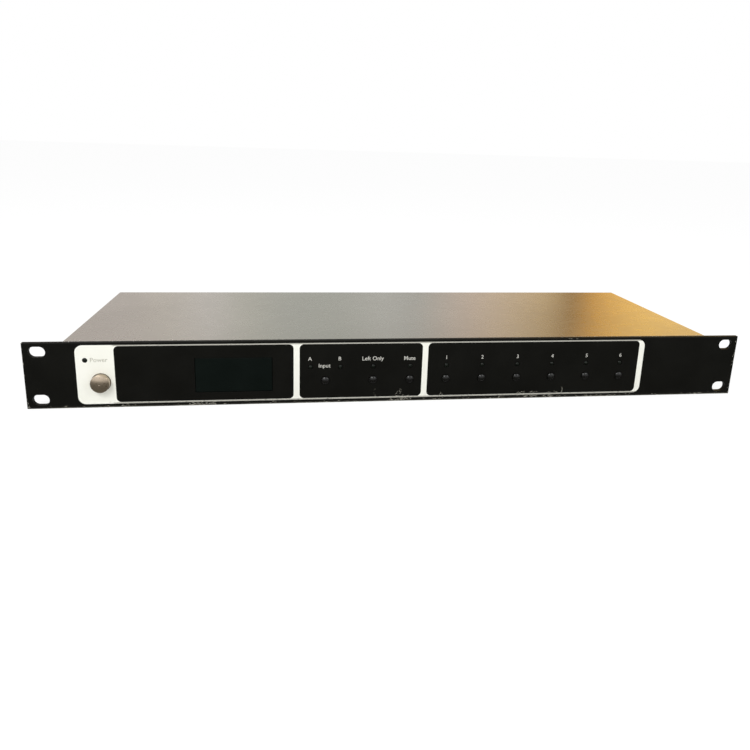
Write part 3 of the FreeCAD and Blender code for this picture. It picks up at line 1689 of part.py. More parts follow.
LANE_REACH = {-1: 6.2, 1: 2.8}
TAIL_REACH = {-1: 2.5, 1: 5.5}
LANE_RUN = 9
SWITCH_REACH = {-1: 1.4, 1: 3.8}
SWITCH_RUN = 6
PAIR_OFFSET = 1.5
CORE_REACH = 5
HEADER_SPREAD = 1
HEADER_DROP = 6


def mains_wire(side):
    """One wire from the inlet's tail along the left wall to the switch."""
    pin_x = inlet_x + blade_spread / 2 * side
    pin_z = mouth_z - blade_drop
    tab_x = power_x + wire_spread / 2 * side
    tab_z = power_z + switch_section / 4
    lane_x = transformer_x - core_radius - wire_radius * LANE_REACH[side]
    leave_y = tail_front - wire_radius * TAIL_REACH[side]
    switch_rear = switch_front + switch_length + terminal_length
    reach_y = switch_rear + wire_radius * SWITCH_REACH[side]
    return tube(
        [
            (pin_x, tail_front, pin_z),
            (pin_x, leave_y, pin_z),
            (lane_x, leave_y - wire_radius * LANE_RUN, pin_z),
            (lane_x, reach_y + wire_radius * SWITCH_RUN, tab_z),
            (tab_x, reach_y, tab_z),
            (tab_x, switch_rear, tab_z),
        ],
        wire_radius,
    )


def secondary_wire(side):
    """One wire from the transformer's side to the power header on the main board."""
    core_side = transformer_x + core_radius
    level = floor_top + pad_thick + core_height / 2
    spot_y = transformer_y + wire_radius * PAIR_OFFSET * side
    end_x = main_board_left + power_header_side / 2 + wire_radius * HEADER_SPREAD * side
    end_y = power_header_y + wire_radius * PAIR_OFFSET * side
    return tube(
        [
            (core_side, spot_y, level),
            (core_side + wire_radius * CORE_REACH, spot_y, level),
            (end_x, end_y, power_header_top + wire_radius * HEADER_DROP),
            (end_x, end_y, power_header_top),
        ],
        wire_radius,
    )


def input_leads():
    """Three flat leads from the back of each input socket down to the main board."""
    leads = []
    for name, spot in input_places.items():
        for index, (spot_x, spot_z) in enumerate(contact_spots(spot)):
            low = (spot_x - terminal_thick / 2, socket_rear - terminal_thick, main_board_top)
            high = (spot_x + terminal_thick / 2, socket_rear, spot_z)
            leads.append(block(name + "_lead_" + str(index + 1), low, high))
    return leads


def make_wiring():
    wires = [mains_wire(-1), mains_wire(1), secondary_wire(-1), secondary_wire(1)]
    insulated = shape_feature("wire_shape", Part.makeCompound(wires))
    node(group("wiring_set", [insulated] + input_leads()), "wiring")


make_front_panel()
make_panel_nuts()
make_display()
make_power_button()
make_power_switch()
make_switch_bracket()
for key_name, key_x in key_places.items():
    make_key(key_name, key_x)
make_key_switches()
make_lamps()
make_front_board()
make_tray()
make_cover()
make_rear_panel()
make_case_screws()
make_transformer()
make_inlet()
make_fuse_drawer()
make_earth_terminal()
for socket_name, socket_x in input_places.items():
    make_socket(socket_name, socket_x)
    make_latch(socket_name, socket_x)
make_inserts()
make_connector_screws()
for jack_index, jack_x in enumerate(output_x):
    make_jack_block(jack_index, jack_x)
make_jack_nuts()
make_main_board()
node(group("spacer_set", front_spacers() + main_spacers()), "board_spacers")
make_board_screws()
make_board_parts()
make_heat_sink()
make_headers()
make_ribbon()
make_wiring()
doc.recompute()


# Checks before anything is written

CUTTING = ("PartDesign::Pocket", "PartDesign::Hole", "PartDesign::Groove")


def check(document):
    for item in document.Objects:
        if "Invalid" in item.State or "Error" in item.State:
            raise RuntimeError(item.Name + " failed: " + str(item.State))
        if item.TypeId in CUTTING:
            if item.Shape.Volume >= item.BaseFeature.Shape.Volume - 0.001:
                raise RuntimeError(item.Name + " cuts nothing")
    for item in nodes:
        if item.Shape.isNull() or not item.Shape.isValid():
            raise RuntimeError(item.Label + " has no valid shape")
        if not item.Shape.Solids:
            raise RuntimeError(item.Label + " has no solid")


check(doc)
for item in nodes:
    item.Shape.exportStep("parts/" + item.Label + ".step")
    count = len(item.Shape.Solids)
    print(item.Label, count, "solid" if count == 1 else "solids", round(item.Shape.Volume, 1), "mm3")
print(len(nodes), "nodes")
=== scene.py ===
"""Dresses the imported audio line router: finishes, printed front, camera and light."""

import json
import math
import random

import bmesh
import bpy
from mathutils import Matrix, Vector


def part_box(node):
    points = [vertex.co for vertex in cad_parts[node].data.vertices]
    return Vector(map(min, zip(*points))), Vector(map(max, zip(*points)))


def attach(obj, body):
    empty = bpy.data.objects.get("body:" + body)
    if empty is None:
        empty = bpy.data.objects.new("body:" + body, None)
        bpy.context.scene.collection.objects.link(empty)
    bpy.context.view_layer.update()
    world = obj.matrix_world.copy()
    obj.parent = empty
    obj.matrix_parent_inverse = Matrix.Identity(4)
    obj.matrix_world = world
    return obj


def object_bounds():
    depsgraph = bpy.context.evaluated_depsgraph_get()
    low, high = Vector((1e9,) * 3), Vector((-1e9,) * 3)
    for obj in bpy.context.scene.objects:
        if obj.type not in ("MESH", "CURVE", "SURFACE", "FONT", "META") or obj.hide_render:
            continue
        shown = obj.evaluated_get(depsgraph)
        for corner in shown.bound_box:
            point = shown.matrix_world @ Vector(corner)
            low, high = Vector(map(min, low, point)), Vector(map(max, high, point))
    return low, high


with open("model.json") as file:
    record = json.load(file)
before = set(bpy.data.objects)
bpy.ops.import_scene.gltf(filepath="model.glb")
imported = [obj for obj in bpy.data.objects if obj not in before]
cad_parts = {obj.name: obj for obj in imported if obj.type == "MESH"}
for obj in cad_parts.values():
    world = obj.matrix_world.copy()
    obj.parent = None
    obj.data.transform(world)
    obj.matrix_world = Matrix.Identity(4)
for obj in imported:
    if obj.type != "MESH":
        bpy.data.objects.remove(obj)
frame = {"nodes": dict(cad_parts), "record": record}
cad_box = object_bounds()

MM = 0.001
WHITE = (1.0, 1.0, 1.0, 1.0)


# Colours


def tone(red, green, blue):
    """The linear colour that a shader takes, for sRGB screen values of 0 to 255."""
    linear = []
    for value in (red, green, blue):
        share = value / 255
        linear.append(share / 12.92 if share <= 0.04045 else ((share + 0.055) / 1.055) ** 2.4)
    return (*linear, 1.0)


# Finishes

# The middle of a noise's values, which patches and uneven gloss are made from
PATCHY = (0.35, 0.65)
UNEVEN = (0.3, 0.7)

# How far a rounded normal leans from the flat one, as a cosine: where an edge starts and
# where it is full
EDGE_STARTS, EDGE_FULL = 0.995, 0.75
ROUNDING_SAMPLES = 6


def middle(box):
    low, high = box
    return (low + high) / 2


class Nodes:
    """A node tree, and short ways to add to it."""

    def __init__(self, tree):
        self.tree = tree

    def node(self, kind, **settings):
        made = self.tree.nodes.new(kind)
        for setting, value in settings.items():
            setattr(made, setting, value)
        return made

    def link(self, source, socket):
        self.tree.links.new(source, socket)

    def put(self, socket, value):
        """Gives a socket a number, a colour or another node's output."""
        if isinstance(value, bpy.types.NodeSocket):
            self.link(value, socket)
        else:
            socket.default_value = value

    def maths(self, operation, first, *others):
        """Applies an operation to a value, or from left to right to several."""
        for second in others or (None,):
            node = self.node("ShaderNodeMath", operation=operation)
            self.put(node.inputs[0], first)
            if second is not None:
                self.put(node.inputs[1], second)
            first = node.outputs["Value"]
        return first

    def ranged(self, value, start, stop, low=0.0, high=1.0):
        """Carries start to stop of a value over to low to high."""
        node = self.node("ShaderNodeMapRange")
        self.link(value, node.inputs["Value"])
        node.inputs["From Min"].default_value = start
        node.inputs["From Max"].default_value = stop
        node.inputs["To Min"].default_value = low
        node.inputs["To Max"].default_value = high
        return node.outputs["Result"]

    def between(self, share, low, high):
        """Carries a share of 0 to 1 over to low to high."""
        return self.ranged(share, 0.0, 1.0, low, high)

    def split(self, source):
        """The X, Y and Z outputs of a vector."""
        node = self.node("ShaderNodeSeparateXYZ")
        self.link(source, node.inputs["Vector"])
        return node.outputs["X"], node.outputs["Y"], node.outputs["Z"]


class Finish(Nodes):
    """One material: a principled shader, with noises in the object's own metres that vary it."""

    def __init__(self, name):
        self.material = bpy.data.materials.new(name)
        self.material.use_nodes = True
        super().__init__(self.material.node_tree)
        self.shader = self.tree.nodes["Principled BSDF"]
        self.place = self.node("ShaderNodeTexCoord").outputs["Object"]

    def noise(self, scale, detail=3.0, stretch=(1.0, 1.0, 1.0), shift=0.0, rough=0.55):
        """A noise whose features are about one over scale metres across."""
        mapping = self.node("ShaderNodeMapping")
        mapping.inputs["Scale"].default_value = stretch
        mapping.inputs["Location"].default_value = (shift, shift, shift)
        self.link(self.place, mapping.inputs["Vector"])
        noise = self.node("ShaderNodeTexNoise")
        noise.inputs["Scale"].default_value = scale
        noise.inputs["Detail"].default_value = detail
        noise.inputs["Roughness"].default_value = rough
        self.link(mapping.outputs["Vector"], noise.inputs["Vector"])
        return noise.outputs["Fac"]

    def patches(self, scale, detail=3.0, **more):
        """Soft patches: a noise spread over 0 to 1."""
        return self.ranged(self.noise(scale, detail, **more), *PATCHY)

    def uneven(self, low, high, scale, detail=3.0, **more):
        """A value that wanders from low to high."""
        return self.ranged(self.noise(scale, detail, **more), *UNEVEN, low, high)

    def cell_edges(self, scale):
        cells = self.node("ShaderNodeTexVoronoi", feature="DISTANCE_TO_EDGE")
        cells.inputs["Scale"].default_value = scale
        self.link(self.place, cells.inputs["Vector"])
        return cells.outputs["Distance"]

    def ribs_and_groove_shade(self, scale):
        """Even bands along X, which raise ribs and paint shade into their grooves."""
        wave = self.node("ShaderNodeTexWave", wave_type="BANDS", bands_direction="X")
        wave.inputs["Scale"].default_value = scale
        self.link(self.place, wave.inputs["Vector"])
        return wave.outputs["Fac"]

    def blended(self, share, first, second):
        """Mixes two colours, or two numbers, by a share of 0 to 1."""
        colours = isinstance(first, tuple) or isinstance(second, tuple)
        if isinstance(first, bpy.types.NodeSocket):
            colours = colours or first.type == "RGBA"
        node = self.node("ShaderNodeMix", data_type="RGBA" if colours else "FLOAT")
        inputs = [socket for socket in node.inputs if socket.enabled]
        for socket, value in zip(inputs, (share, first, second)):
            self.put(socket, value)
        return [socket for socket in node.outputs if socket.enabled][0]

    def rounded(self, radius):
        """The normal with its edges rounded by a radius in millimetres."""
        bevel = self.node("ShaderNodeBevel", samples=ROUNDING_SAMPLES)
        bevel.inputs["Radius"].default_value = radius * MM
        return bevel.outputs["Normal"]

    def edges(self, radius):
        """How close a point is to a sharp edge: 0 on a flat, 1 at the edge."""
        node = self.node("ShaderNodeVectorMath", operation="DOT_PRODUCT")
        self.link(self.rounded(radius), node.inputs[0])
        self.link(self.node("ShaderNodeNewGeometry").outputs["Normal"], node.inputs[1])
        return self.ranged(node.outputs["Value"], EDGE_STARTS, EDGE_FULL)

    def bump(self, height, depth, normal=None):
        """Raises the surface by a height of 0 to 1 times depth metres."""
        node = self.node("ShaderNodeBump")
        node.inputs["Strength"].default_value = 1.0
        node.inputs["Distance"].default_value = depth
        self.link(height, node.inputs["Height"])
        if normal is not None:
            self.link(normal, node.inputs["Normal"])
        return node.outputs["Normal"]

    def set(self, **values):
        """Sets sockets of the shader by name, with underscores for the spaces."""
        for name, value in values.items():
            self.put(self.shader.inputs[name.replace("_", " ")], value)


# Bands of the front, in metres: where each starts and where it is full

PLATE_ENDS = (0.2405, 0.2411)
FOOT_EDGE = (-0.0208, -0.02165)
FOOT_SPOTS = (-0.0192, -0.0214)
PRINT_FOOT = (-0.0175, -0.0197)
TOP_LINE = (0.0192, 0.0195)
FOOT_LINE = (-0.0182, -0.0185)
PAST_POWER_FIELD = (-0.1885, -0.1865)


def make_panel_black():
    """Satin black paint over aluminium, rubbed grey along its foot and nicked at its ends."""
    nicked, patched, spotted = (0.54, 0.59), (0.42, 0.60), (0.60, 0.66)
    finish = Finish("panel_black_finish")
    along, _, up = finish.split(finish.place)
    # Ends: the corners of the plate lose paint first, and its end faces less than its front.
    ends = finish.ranged(finish.maths("ABSOLUTE", along), *PLATE_ENDS)
    facing = finish.split(finish.node("ShaderNodeNewGeometry").outputs["True Normal"])[0]
    kept = finish.ranged(finish.maths("ABSOLUTE", facing), 0.5, 0.9, 0.0, 0.12)
    chip_noise = finish.maths("SUBTRACT", finish.noise(420.0, detail=5.0, rough=0.7), kept)
    nicks = finish.maths("MULTIPLY", ends, finish.ranged(chip_noise, *nicked))
    # Foot: the lower edge is rubbed in long patches, with small spots above it.
    patch_noise = finish.noise(60.0, detail=4.0, stretch=(0.5, 1.0, 1.0), shift=6.0)
    patches = finish.ranged(patch_noise, *patched)
    rubbed = finish.maths("MULTIPLY", finish.ranged(up, *FOOT_EDGE),
                          finish.between(patches, 0.12, 0.50))
    spot_noise = finish.noise(700.0, detail=4.0, stretch=(0.6, 1.0, 1.0), shift=2.0, rough=0.6)
    spots = finish.maths("MULTIPLY", finish.ranged(spot_noise, *spotted),
                         finish.ranged(up, *FOOT_SPOTS), patches)
    bare = finish.maths("MAXIMUM", nicks, spots, rubbed)
    paint = finish.blended(finish.patches(45.0, detail=4.0), tone(15, 15, 12), tone(19, 19, 16))
    metal = finish.blended(finish.patches(300.0, shift=5.0), tone(150, 146, 130),
                           tone(190, 186, 170))
    finish.set(Base_Color=finish.blended(bare, paint, metal))
    finish.set(Metallic=finish.maths("MULTIPLY", bare, 0.5))
    finish.set(Roughness=finish.uneven(0.46, 0.56, 90.0, detail=4.0, shift=1.0))
    finish.set(Specular_IOR_Level=0.08)
    grain = finish.maths("MULTIPLY", finish.noise(1400.0, detail=2.0), 0.12)
    relief = finish.maths("SUBTRACT", grain, bare)
    finish.set(Normal=finish.bump(relief, 30e-6, finish.rounded(0.25)))
    return finish


def make_bare_metal():
    """Aluminium under lost paint: bright in one spot, dull in the next."""
    finish = Finish("bare_metal_finish")
    dull = finish.patches(1500.0)
    finish.set(Base_Color=finish.blended(dull, tone(206, 203, 190), tone(128, 125, 112)))
    finish.set(Metallic=0.3, Roughness=finish.between(dull, 0.4, 0.55))
    finish.set(Normal=finish.bump(finish.noise(4000.0, detail=2.0), 6e-6))
    return finish


def make_case_grey():
    """Satin grey lacquer with metal in it: a long soft mirror at low angles."""
    finish = Finish("case_grey_finish")
    tint = finish.blended(finish.patches(14.0, detail=4.0), tone(176, 174, 168),
                          tone(181, 179, 173))
    finish.set(Base_Color=tint, Metallic=0.92)
    finish.set(Roughness=finish.uneven(0.25, 0.31, 120.0, detail=5.0))
    finish.set(Normal=finish.bump(finish.noise(900.0), 2.5e-6, finish.rounded(0.5)))
    return finish


def make_print_white():
    """Screen ink: warm white, greyer in the fine lines, worn off in spots near the foot."""
    finish = Finish("print_white_finish")
    along, _, up = finish.split(finish.place)
    gone_noise = finish.noise(900.0, detail=4.0, stretch=(0.5, 1.0, 1.0), shift=4.0, rough=0.65)
    gone = finish.maths("MULTIPLY", finish.ranged(gone_noise, 0.60, 0.64),
                        finish.ranged(up, *PRINT_FOOT))
    white = finish.blended(finish.patches(60.0), tone(253, 253, 243), tone(250, 250, 239))
    fine_line = finish.maths("MAXIMUM", finish.ranged(up, *TOP_LINE),
                             finish.ranged(up, *FOOT_LINE))
    fine_line = finish.maths("MULTIPLY", fine_line, finish.ranged(along, *PAST_POWER_FIELD))
    white = finish.blended(fine_line, white, tone(184, 182, 172))
    finish.set(Base_Color=finish.blended(gone, white, tone(28, 28, 25)))
    finish.set(Roughness=finish.uneven(0.42, 0.52, 200.0))
    finish.set(Specular_IOR_Level=0.3)
    finish.set(Normal=finish.bump(finish.noise(2600.0, detail=2.0), 3e-6))
    return finish


def make_ink(name, colour):
    """Small printed marks: flat ink with a slight unevenness."""
    finish = Finish(name)
    uneven = finish.patches(1800.0)
    darkening = 0.86
    darker = (*(channel * darkening for channel in colour[:3]), 1.0)
    finish.set(Base_Color=finish.blended(uneven, colour, darker), Specular_IOR_Level=0.3)
    finish.set(Roughness=finish.between(uneven, 0.45, 0.55))
    finish.set(Normal=finish.bump(finish.noise(4000.0, detail=2.0), 2e-6))
    return finish


def make_smoked_acrylic():
    """A dark, blue-green tinted window with a clean gloss and a few fine hairlines."""
    finish = Finish("smoked_acrylic_finish")
    finish.set(Base_Color=finish.blended(finish.patches(35.0, detail=2.0), tone(12, 18, 16),
                                         tone(15, 21, 19)))
    hair = finish.noise(260.0, detail=2.0, stretch=(0.08, 1.0, 1.0))
    finish.set(Roughness=finish.ranged(hair, 0.45, 0.75, 0.06, 0.16), Specular_IOR_Level=0.14)
    finish.set(Normal=finish.bump(hair, 0.6e-6, finish.rounded(0.9)))
    return finish


def make_button_metal():
    """Turned, satin-plated metal: fine rings about the button's axis."""
    ring_pitch = 0.22 * MM
    finish = Finish("button_metal_finish")
    along, _, up = finish.split(finish.place)
    centre = middle(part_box("power_button"))
    side = finish.maths("POWER", finish.maths("SUBTRACT", along, centre.x), 2.0)
    rise = finish.maths("POWER", finish.maths("SUBTRACT", up, centre.z), 2.0)
    radius = finish.maths("SQRT", finish.maths("ADD", side, rise))
    rings = finish.maths("SINE", finish.maths("MULTIPLY", radius, 2 * math.pi / ring_pitch))
    tint = finish.blended(finish.patches(260.0), tone(196, 180, 160), tone(184, 168, 147))
    finish.set(Base_Color=tint, Metallic=0.92)
    finish.set(Roughness=finish.uneven(0.26, 0.34, 900.0))
    finish.set(Normal=finish.bump(rings, 0.8e-6, finish.rounded(0.35)))
    return finish


def make_circuit_board():
    """Green solder mask over copper runs."""
    finish = Finish("circuit_board_finish")
    runs = finish.ranged(finish.cell_edges(240.0), 0.06, 0.09, 1.0, 0.0)
    fill = finish.ranged(finish.noise(120.0, detail=2.0), 0.45, 0.5)
    tracks = finish.maths("MULTIPLY", runs, fill)
    mask = finish.blended(finish.patches(30.0), tone(24, 74, 42), tone(30, 84, 48))
    finish.set(Base_Color=finish.blended(tracks, mask, tone(58, 122, 66)))
    finish.set(Roughness=finish.uneven(0.28, 0.4, 400.0))
    finish.set(Normal=finish.bump(tracks, 20e-6, finish.rounded(0.1)))
    return finish


def make_fuse_glass():
    """Clear thin glass."""
    finish = Finish("fuse_glass_finish")
    finish.set(Base_Color=tone(236, 240, 236), Transmission_Weight=0.7)
    finish.set(Roughness=finish.uneven(0.02, 0.08, 500.0))
    return finish


def make_transformer_tape():
    """Polyester tape lapped round the ring, with the winding's ridges showing through."""
    laps, wires = 24, 160.0
    finish = Finish("transformer_tape_finish")
    centre = middle(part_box("toroidal_transformer"))
    along, across, _ = finish.split(finish.place)
    angle = finish.maths("ARCTAN2", finish.maths("SUBTRACT", across, centre.y),
                         finish.maths("SUBTRACT", along, centre.x))
    lap = finish.maths("FRACT", finish.maths("MULTIPLY", angle, laps / (2 * math.pi)))
    wire = finish.maths("SINE", finish.maths("MULTIPLY", angle, wires))
    finish.set(Base_Color=finish.blended(lap, tone(216, 196, 128), tone(196, 172, 100)))
    finish.set(Roughness=finish.uneven(0.25, 0.4, 300.0))
    height = finish.maths("ADD", lap, finish.maths("MULTIPLY", wire, 0.25))
    finish.set(Normal=finish.bump(height, 60e-6))
    return finish


def make_ribbon():
    """Flat cable: a rib for each conductor, with painted shade: the grooves darker and the crests
    lighter.
    """
    finish = Finish("ribbon_grey_finish")
    ribs_and_groove_shade = finish.ribs_and_groove_shade(250.0)
    # Painted shade: the colour follows the ribs, darker in the grooves and lighter on the crests.
    finish.set(Base_Color=finish.blended(ribs_and_groove_shade, tone(128, 128, 126), tone(158, 158, 154)))
    finish.set(Roughness=finish.uneven(0.42, 0.55, 300.0))
    finish.set(Normal=finish.bump(ribs_and_groove_shade, 120e-6))
    return finish


def make_sink():
    """Bare extruded aluminium with die lines along the profile."""
    finish = Finish("sink_aluminium_finish")
    lines = finish.noise(500.0, stretch=(1.0, 1.0, 0.04))
    finish.set(Base_Color=finish.blended(finish.ranged(lines, *PATCHY), tone(188, 190, 192),
                                         tone(206, 208, 210)))
    finish.set(Metallic=0.95, Roughness=finish.ranged(lines, *UNEVEN, 0.3, 0.42))
    finish.set(Normal=finish.bump(lines, 8e-6, finish.rounded(0.2)))
    return finish


# Finishes that differ in numbers only. Patch and grain are scales of noises, depth is the
# grain's in metres, rounding is in millimetres, and worn is the bare tint and its share.

PLAIN_FINISHES = {
    "rear_black": dict(
        tints=((26, 26, 27), (31, 31, 31)), roughness=(0.5, 0.62), patch=50.0, grain=2200.0,
        depth=14e-6, rounding=0.3, specular=0.25, worn=((196, 192, 182), 0.35)),
    "key_black": dict(
        tints=((15, 15, 14), (19, 19, 18)), roughness=(0.22, 0.30), patch=300.0, grain=2500.0,
        depth=0.5e-6, specular=0.36),
    "lamp_dark": dict(
        tints=((17, 21, 17), (24, 29, 23)), roughness=(0.25, 0.35), patch=600.0, grain=2500.0,
        depth=0.5e-6, specular=0.2),
    "display_grey": dict(
        tints=((98, 102, 96), (110, 113, 106)), roughness=(0.5, 0.6), patch=80.0, grain=1500.0,
        depth=3e-6, rounding=0.2),
    "dark_plastic": dict(
        tints=((30, 31, 33), (38, 39, 41)), roughness=(0.45, 0.56), patch=160.0, grain=2800.0,
        depth=8e-6, rounding=0.2, specular=0.4),
    "black_plastic": dict(
        tints=((22, 22, 23), (28, 28, 29)), roughness=(0.4, 0.52), patch=140.0, grain=2600.0,
        depth=10e-6, rounding=0.3, specular=0.4),
    "rubber_black": dict(
        tints=((27, 27, 27), (37, 37, 36)), roughness=(0.75, 0.88), patch=90.0, grain=1800.0,
        depth=12e-6, rounding=0.4, specular=0.3),
    "zinc": dict(
        tints=((186, 188, 184), (204, 200, 178)), roughness=(0.28, 0.44), patch=170.0,
        grain=1600.0, depth=5e-6, rounding=0.12, metallic=0.95),
    "nickel": dict(
        tints=((198, 194, 184), (184, 178, 166)), roughness=(0.16, 0.3), patch=200.0,
        grain=1800.0, depth=3e-6, rounding=0.15, metallic=1.0),
    "brass_nickel": dict(
        tints=((206, 198, 178), (190, 176, 140)), roughness=(0.18, 0.3), patch=180.0,
        grain=2000.0, depth=3e-6, rounding=0.15, metallic=1.0),
    "socket_metal": dict(
        tints=((176, 173, 166), (160, 157, 150)), roughness=(0.26, 0.4), patch=130.0,
        grain=1600.0, depth=9e-6, rounding=0.5, metallic=0.95, worn=((214, 211, 204), 0.6)),
    "screw_black": dict(
        tints=((34, 34, 34), (44, 43, 42)), roughness=(0.34, 0.46), patch=300.0, grain=2400.0,
        depth=5e-6, rounding=0.2, metallic=0.6, worn=((150, 146, 140), 0.7)),
    "relay_white": dict(
        tints=((226, 224, 214), (218, 215, 203)), roughness=(0.4, 0.5), patch=90.0,
        grain=1500.0, depth=4e-6, rounding=0.3),
    "can_blue": dict(
        tints=((26, 40, 92), (32, 48, 104)), roughness=(0.22, 0.32), patch=120.0,
        grain=1500.0, depth=3e-6, rounding=0.4),
    "wire_brown": dict(
        tints=((96, 60, 38), (108, 68, 44)), roughness=(0.35, 0.48), patch=150.0,
        grain=1700.0, depth=4e-6, rounding=0.1),
}


def make_plain(slot, tints, roughness, patch, grain, depth, rounding=None, metallic=0.0,
               specular=0.5, worn=None):
    """A finish with patches of a second tint, uneven gloss, a fine grain and softened edges."""
    gloss_patch = patch * 2.3
    finish = Finish(slot + "_finish")
    tint = finish.blended(finish.patches(patch, detail=4.0), tone(*tints[0]), tone(*tints[1]))
    if worn is not None:
        bare, amount = worn
        rubbed = finish.maths("MULTIPLY", finish.edges(rounding * 2), amount,
                              finish.ranged(finish.noise(700.0), 0.35, 0.6))
        tint = finish.blended(rubbed, tint, tone(*bare))
        metallic = finish.between(rubbed, metallic, 1.0)
    finish.set(Base_Color=tint, Metallic=metallic, Specular_IOR_Level=specular)
    finish.set(Roughness=finish.uneven(*roughness, gloss_patch, detail=4.0, shift=3.1))
    softened = finish.rounded(rounding) if rounding else None
    finish.set(Normal=finish.bump(finish.noise(grain, detail=2.0), depth, softened))
    return finish


finishes = {
    "panel_black": make_panel_black(),
    "case_grey": make_case_grey(),
    "smoked_acrylic": make_smoked_acrylic(),
    "button_metal": make_button_metal(),
    "circuit_board": make_circuit_board(),
    "fuse_glass": make_fuse_glass(),
    "transformer_tape": make_transformer_tape(),
    "ribbon_grey": make_ribbon(),
    "sink_aluminium": make_sink(),
}
for slot, numbers in PLAIN_FINISHES.items():
    finishes[slot] = make_plain(slot, **numbers)

print_white = make_print_white()
bare_metal = make_bare_metal()
ink_white = make_ink("ink_white_finish", tone(216, 215, 206))
ink_grey = make_ink("ink_grey_finish", tone(196, 194, 180))

slot_of = {row["node"]: row["material_slot"] for row in frame["record"]["subparts"]}
for name, piece in frame["nodes"].items():
    for slot in piece.material_slots:
        slot.material = finishes[slot_of[name]].material


# Printed front, in millimetres from the middle of the plate

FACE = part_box("front_panel")[0].y
INK = 0.03 * MM
PRINT_LEFT, PRINT_RIGHT, PRINT_LOW, PRINT_HIGH = -210.2, 170.5, -19.21, 20.15
PRINT_CORNER, FIELD_CORNER = 4.8, 3.0
CORNER_STEPS, CIRCLE_STEPS = 10, 48
LINE_LOW, LINE_HIGH = 0.92, 0.78
FIELDS = ((-186.9, -74.5), (-70.6, 11.5), (15.3, 166.6))
BUTTON_GAP_RADIUS, LAMP_GAP_RADIUS = 6.1, 1.6
POWER_LAMP = (-204.45, 10.25)


def linked(name, data):
    piece = bpy.data.objects.new(name, data)
    bpy.context.scene.collection.objects.link(piece)
    return piece


def turned_corners(left, right, low, high, radius):
    """The corner points of a rectangle with rounded corners, in millimetres."""
    points = []
    middles = ((right - radius, high - radius, 0), (left + radius, high - radius, 90),
               (left + radius, low + radius, 180), (right - radius, low + radius, 270))
    for x, z, start in middles:
        for step in range(CORNER_STEPS + 1):
            angle = math.radians(start + 90 * step / CORNER_STEPS)
            points.append((x + radius * math.cos(angle), z + radius * math.sin(angle)))
    return points


def circle(x, z, radius):
    points = []
    for step in range(CIRCLE_STEPS):
        angle = 2 * math.pi * step / CIRCLE_STEPS
        points.append((x + radius * math.cos(angle), z + radius * math.sin(angle)))
    return points


def flat_curve(name, outlines, thickness):
    """A filled flat shape of closed outlines, in millimetres."""
    curve = bpy.data.curves.new(name, "CURVE")
    curve.dimensions = "2D"
    curve.fill_mode = "BOTH"
    curve.extrude = thickness / 2
    for points in outlines:
        spline = curve.splines.new("POLY")
        spline.points.add(len(points) - 1)
        for point, (x, z) in zip(spline.points, points):
            point.co = (x * MM, z * MM, 0.0, 1.0)
        spline.use_cyclic_u = True
    return curve


def upright_mesh(name, curve, place, back=False):
    """The mesh of a flat curve or text stood upright at a place, to face the front or the back."""
    maker = linked(name + "_outline", curve)
    maker.matrix_world = (Matrix.Translation(place)
                          @ Matrix.Rotation(math.pi if back else 0, 4, "Z")
                          @ Matrix.Rotation(math.pi / 2, 4, "X"))
    bpy.context.view_layer.update()
    shape = bpy.data.meshes.new_from_object(maker.evaluated_get(
        bpy.context.evaluated_depsgraph_get()))
    shape.transform(maker.matrix_world)
    bpy.data.objects.remove(maker)
    return shape


def standing(name, curve, y, finish, body):
    """Stands a flat curve on a face at y, and fastens it to a body."""
    shape = upright_mesh(name, curve, (0, y, 0))
    shape.name = name
    piece = linked(name, shape)
    shape.materials.clear()
    shape.materials.append(finish.material)
    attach(piece, body)


button_middle = middle(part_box("power_button"))
outlines = [turned_corners(PRINT_LEFT, PRINT_RIGHT, PRINT_LOW, PRINT_HIGH, PRINT_CORNER)]
for left, right in FIELDS:
    outlines.append(turned_corners(left, right, PRINT_LOW + LINE_LOW, PRINT_HIGH - LINE_HIGH,
                                   FIELD_CORNER))
outlines.append(circle(button_middle.x / MM, button_middle.z / MM, BUTTON_GAP_RADIUS))
outlines.append(circle(*POWER_LAMP, LAMP_GAP_RADIUS))
frame_print = flat_curve("front_print", outlines, INK)
standing("front_print", frame_print, FACE - INK / 2, print_white, "chassis")


# Lost paint

# Clusters of chips: left, right, low, high, how many, the longest and the thickest in
# millimetres, and the lean in degrees
CHIPS = (
    (-240.9, -239.6, -21.7, -17.0, 6, 1.6, 0.45, 70),
    (-222.0, -190.0, -21.7, -21.3, 5, 1.6, 0.24, 3),
    (-184.5, -178.0, -21.1, -18.7, 7, 1.9, 0.42, 12),
    (-141.5, -125.0, -21.1, -18.6, 20, 2.8, 0.50, 14),
    (-150.0, -118.0, -21.6, -20.7, 10, 2.4, 0.35, 4),
    (-89.8, -87.2, -21.0, -18.2, 5, 1.6, 0.42, 55),
    (-60.0, -30.0, -21.6, -21.0, 9, 2.2, 0.30, 4),
    (-21.0, -19.2, -17.5, -13.0, 3, 1.6, 0.20, 80),
    (-9.5, 3.5, -21.1, -17.2, 26, 2.6, 0.48, 28),
    (-6.6, -2.0, -18.4, -13.2, 9, 2.4, 0.30, 62),
    (3.4, 4.8, -21.0, -18.6, 4, 1.3, 0.42, 40),
    (23.4, 27.0, -21.0, -16.0, 9, 2.0, 0.34, 65),
    (66.8, 69.6, -21.0, -18.6, 4, 1.8, 0.38, 35),
    (79.5, 95.0, -20.6, -16.9, 26, 2.8, 0.46, 28),
    (99.5, 109.0, -21.1, -17.0, 17, 2.6, 0.42, 35),
    (118.0, 152.0, -21.5, -20.6, 12, 2.8, 0.32, 4),
    (150.0, 164.0, -21.3, -19.4, 5, 1.6, 0.34, 15),
    (181.0, 186.0, -21.6, -20.6, 4, 1.6, 0.42, 10),
    (208.5, 218.5, -21.6, -20.4, 9, 2.0, 0.42, 12),
    (239.6, 240.9, -21.3, 21.3, 12, 1.4, 0.36, 88),
    (113.0, 121.0, 21.0, 21.6, 3, 2.6, 0.26, 4),
)
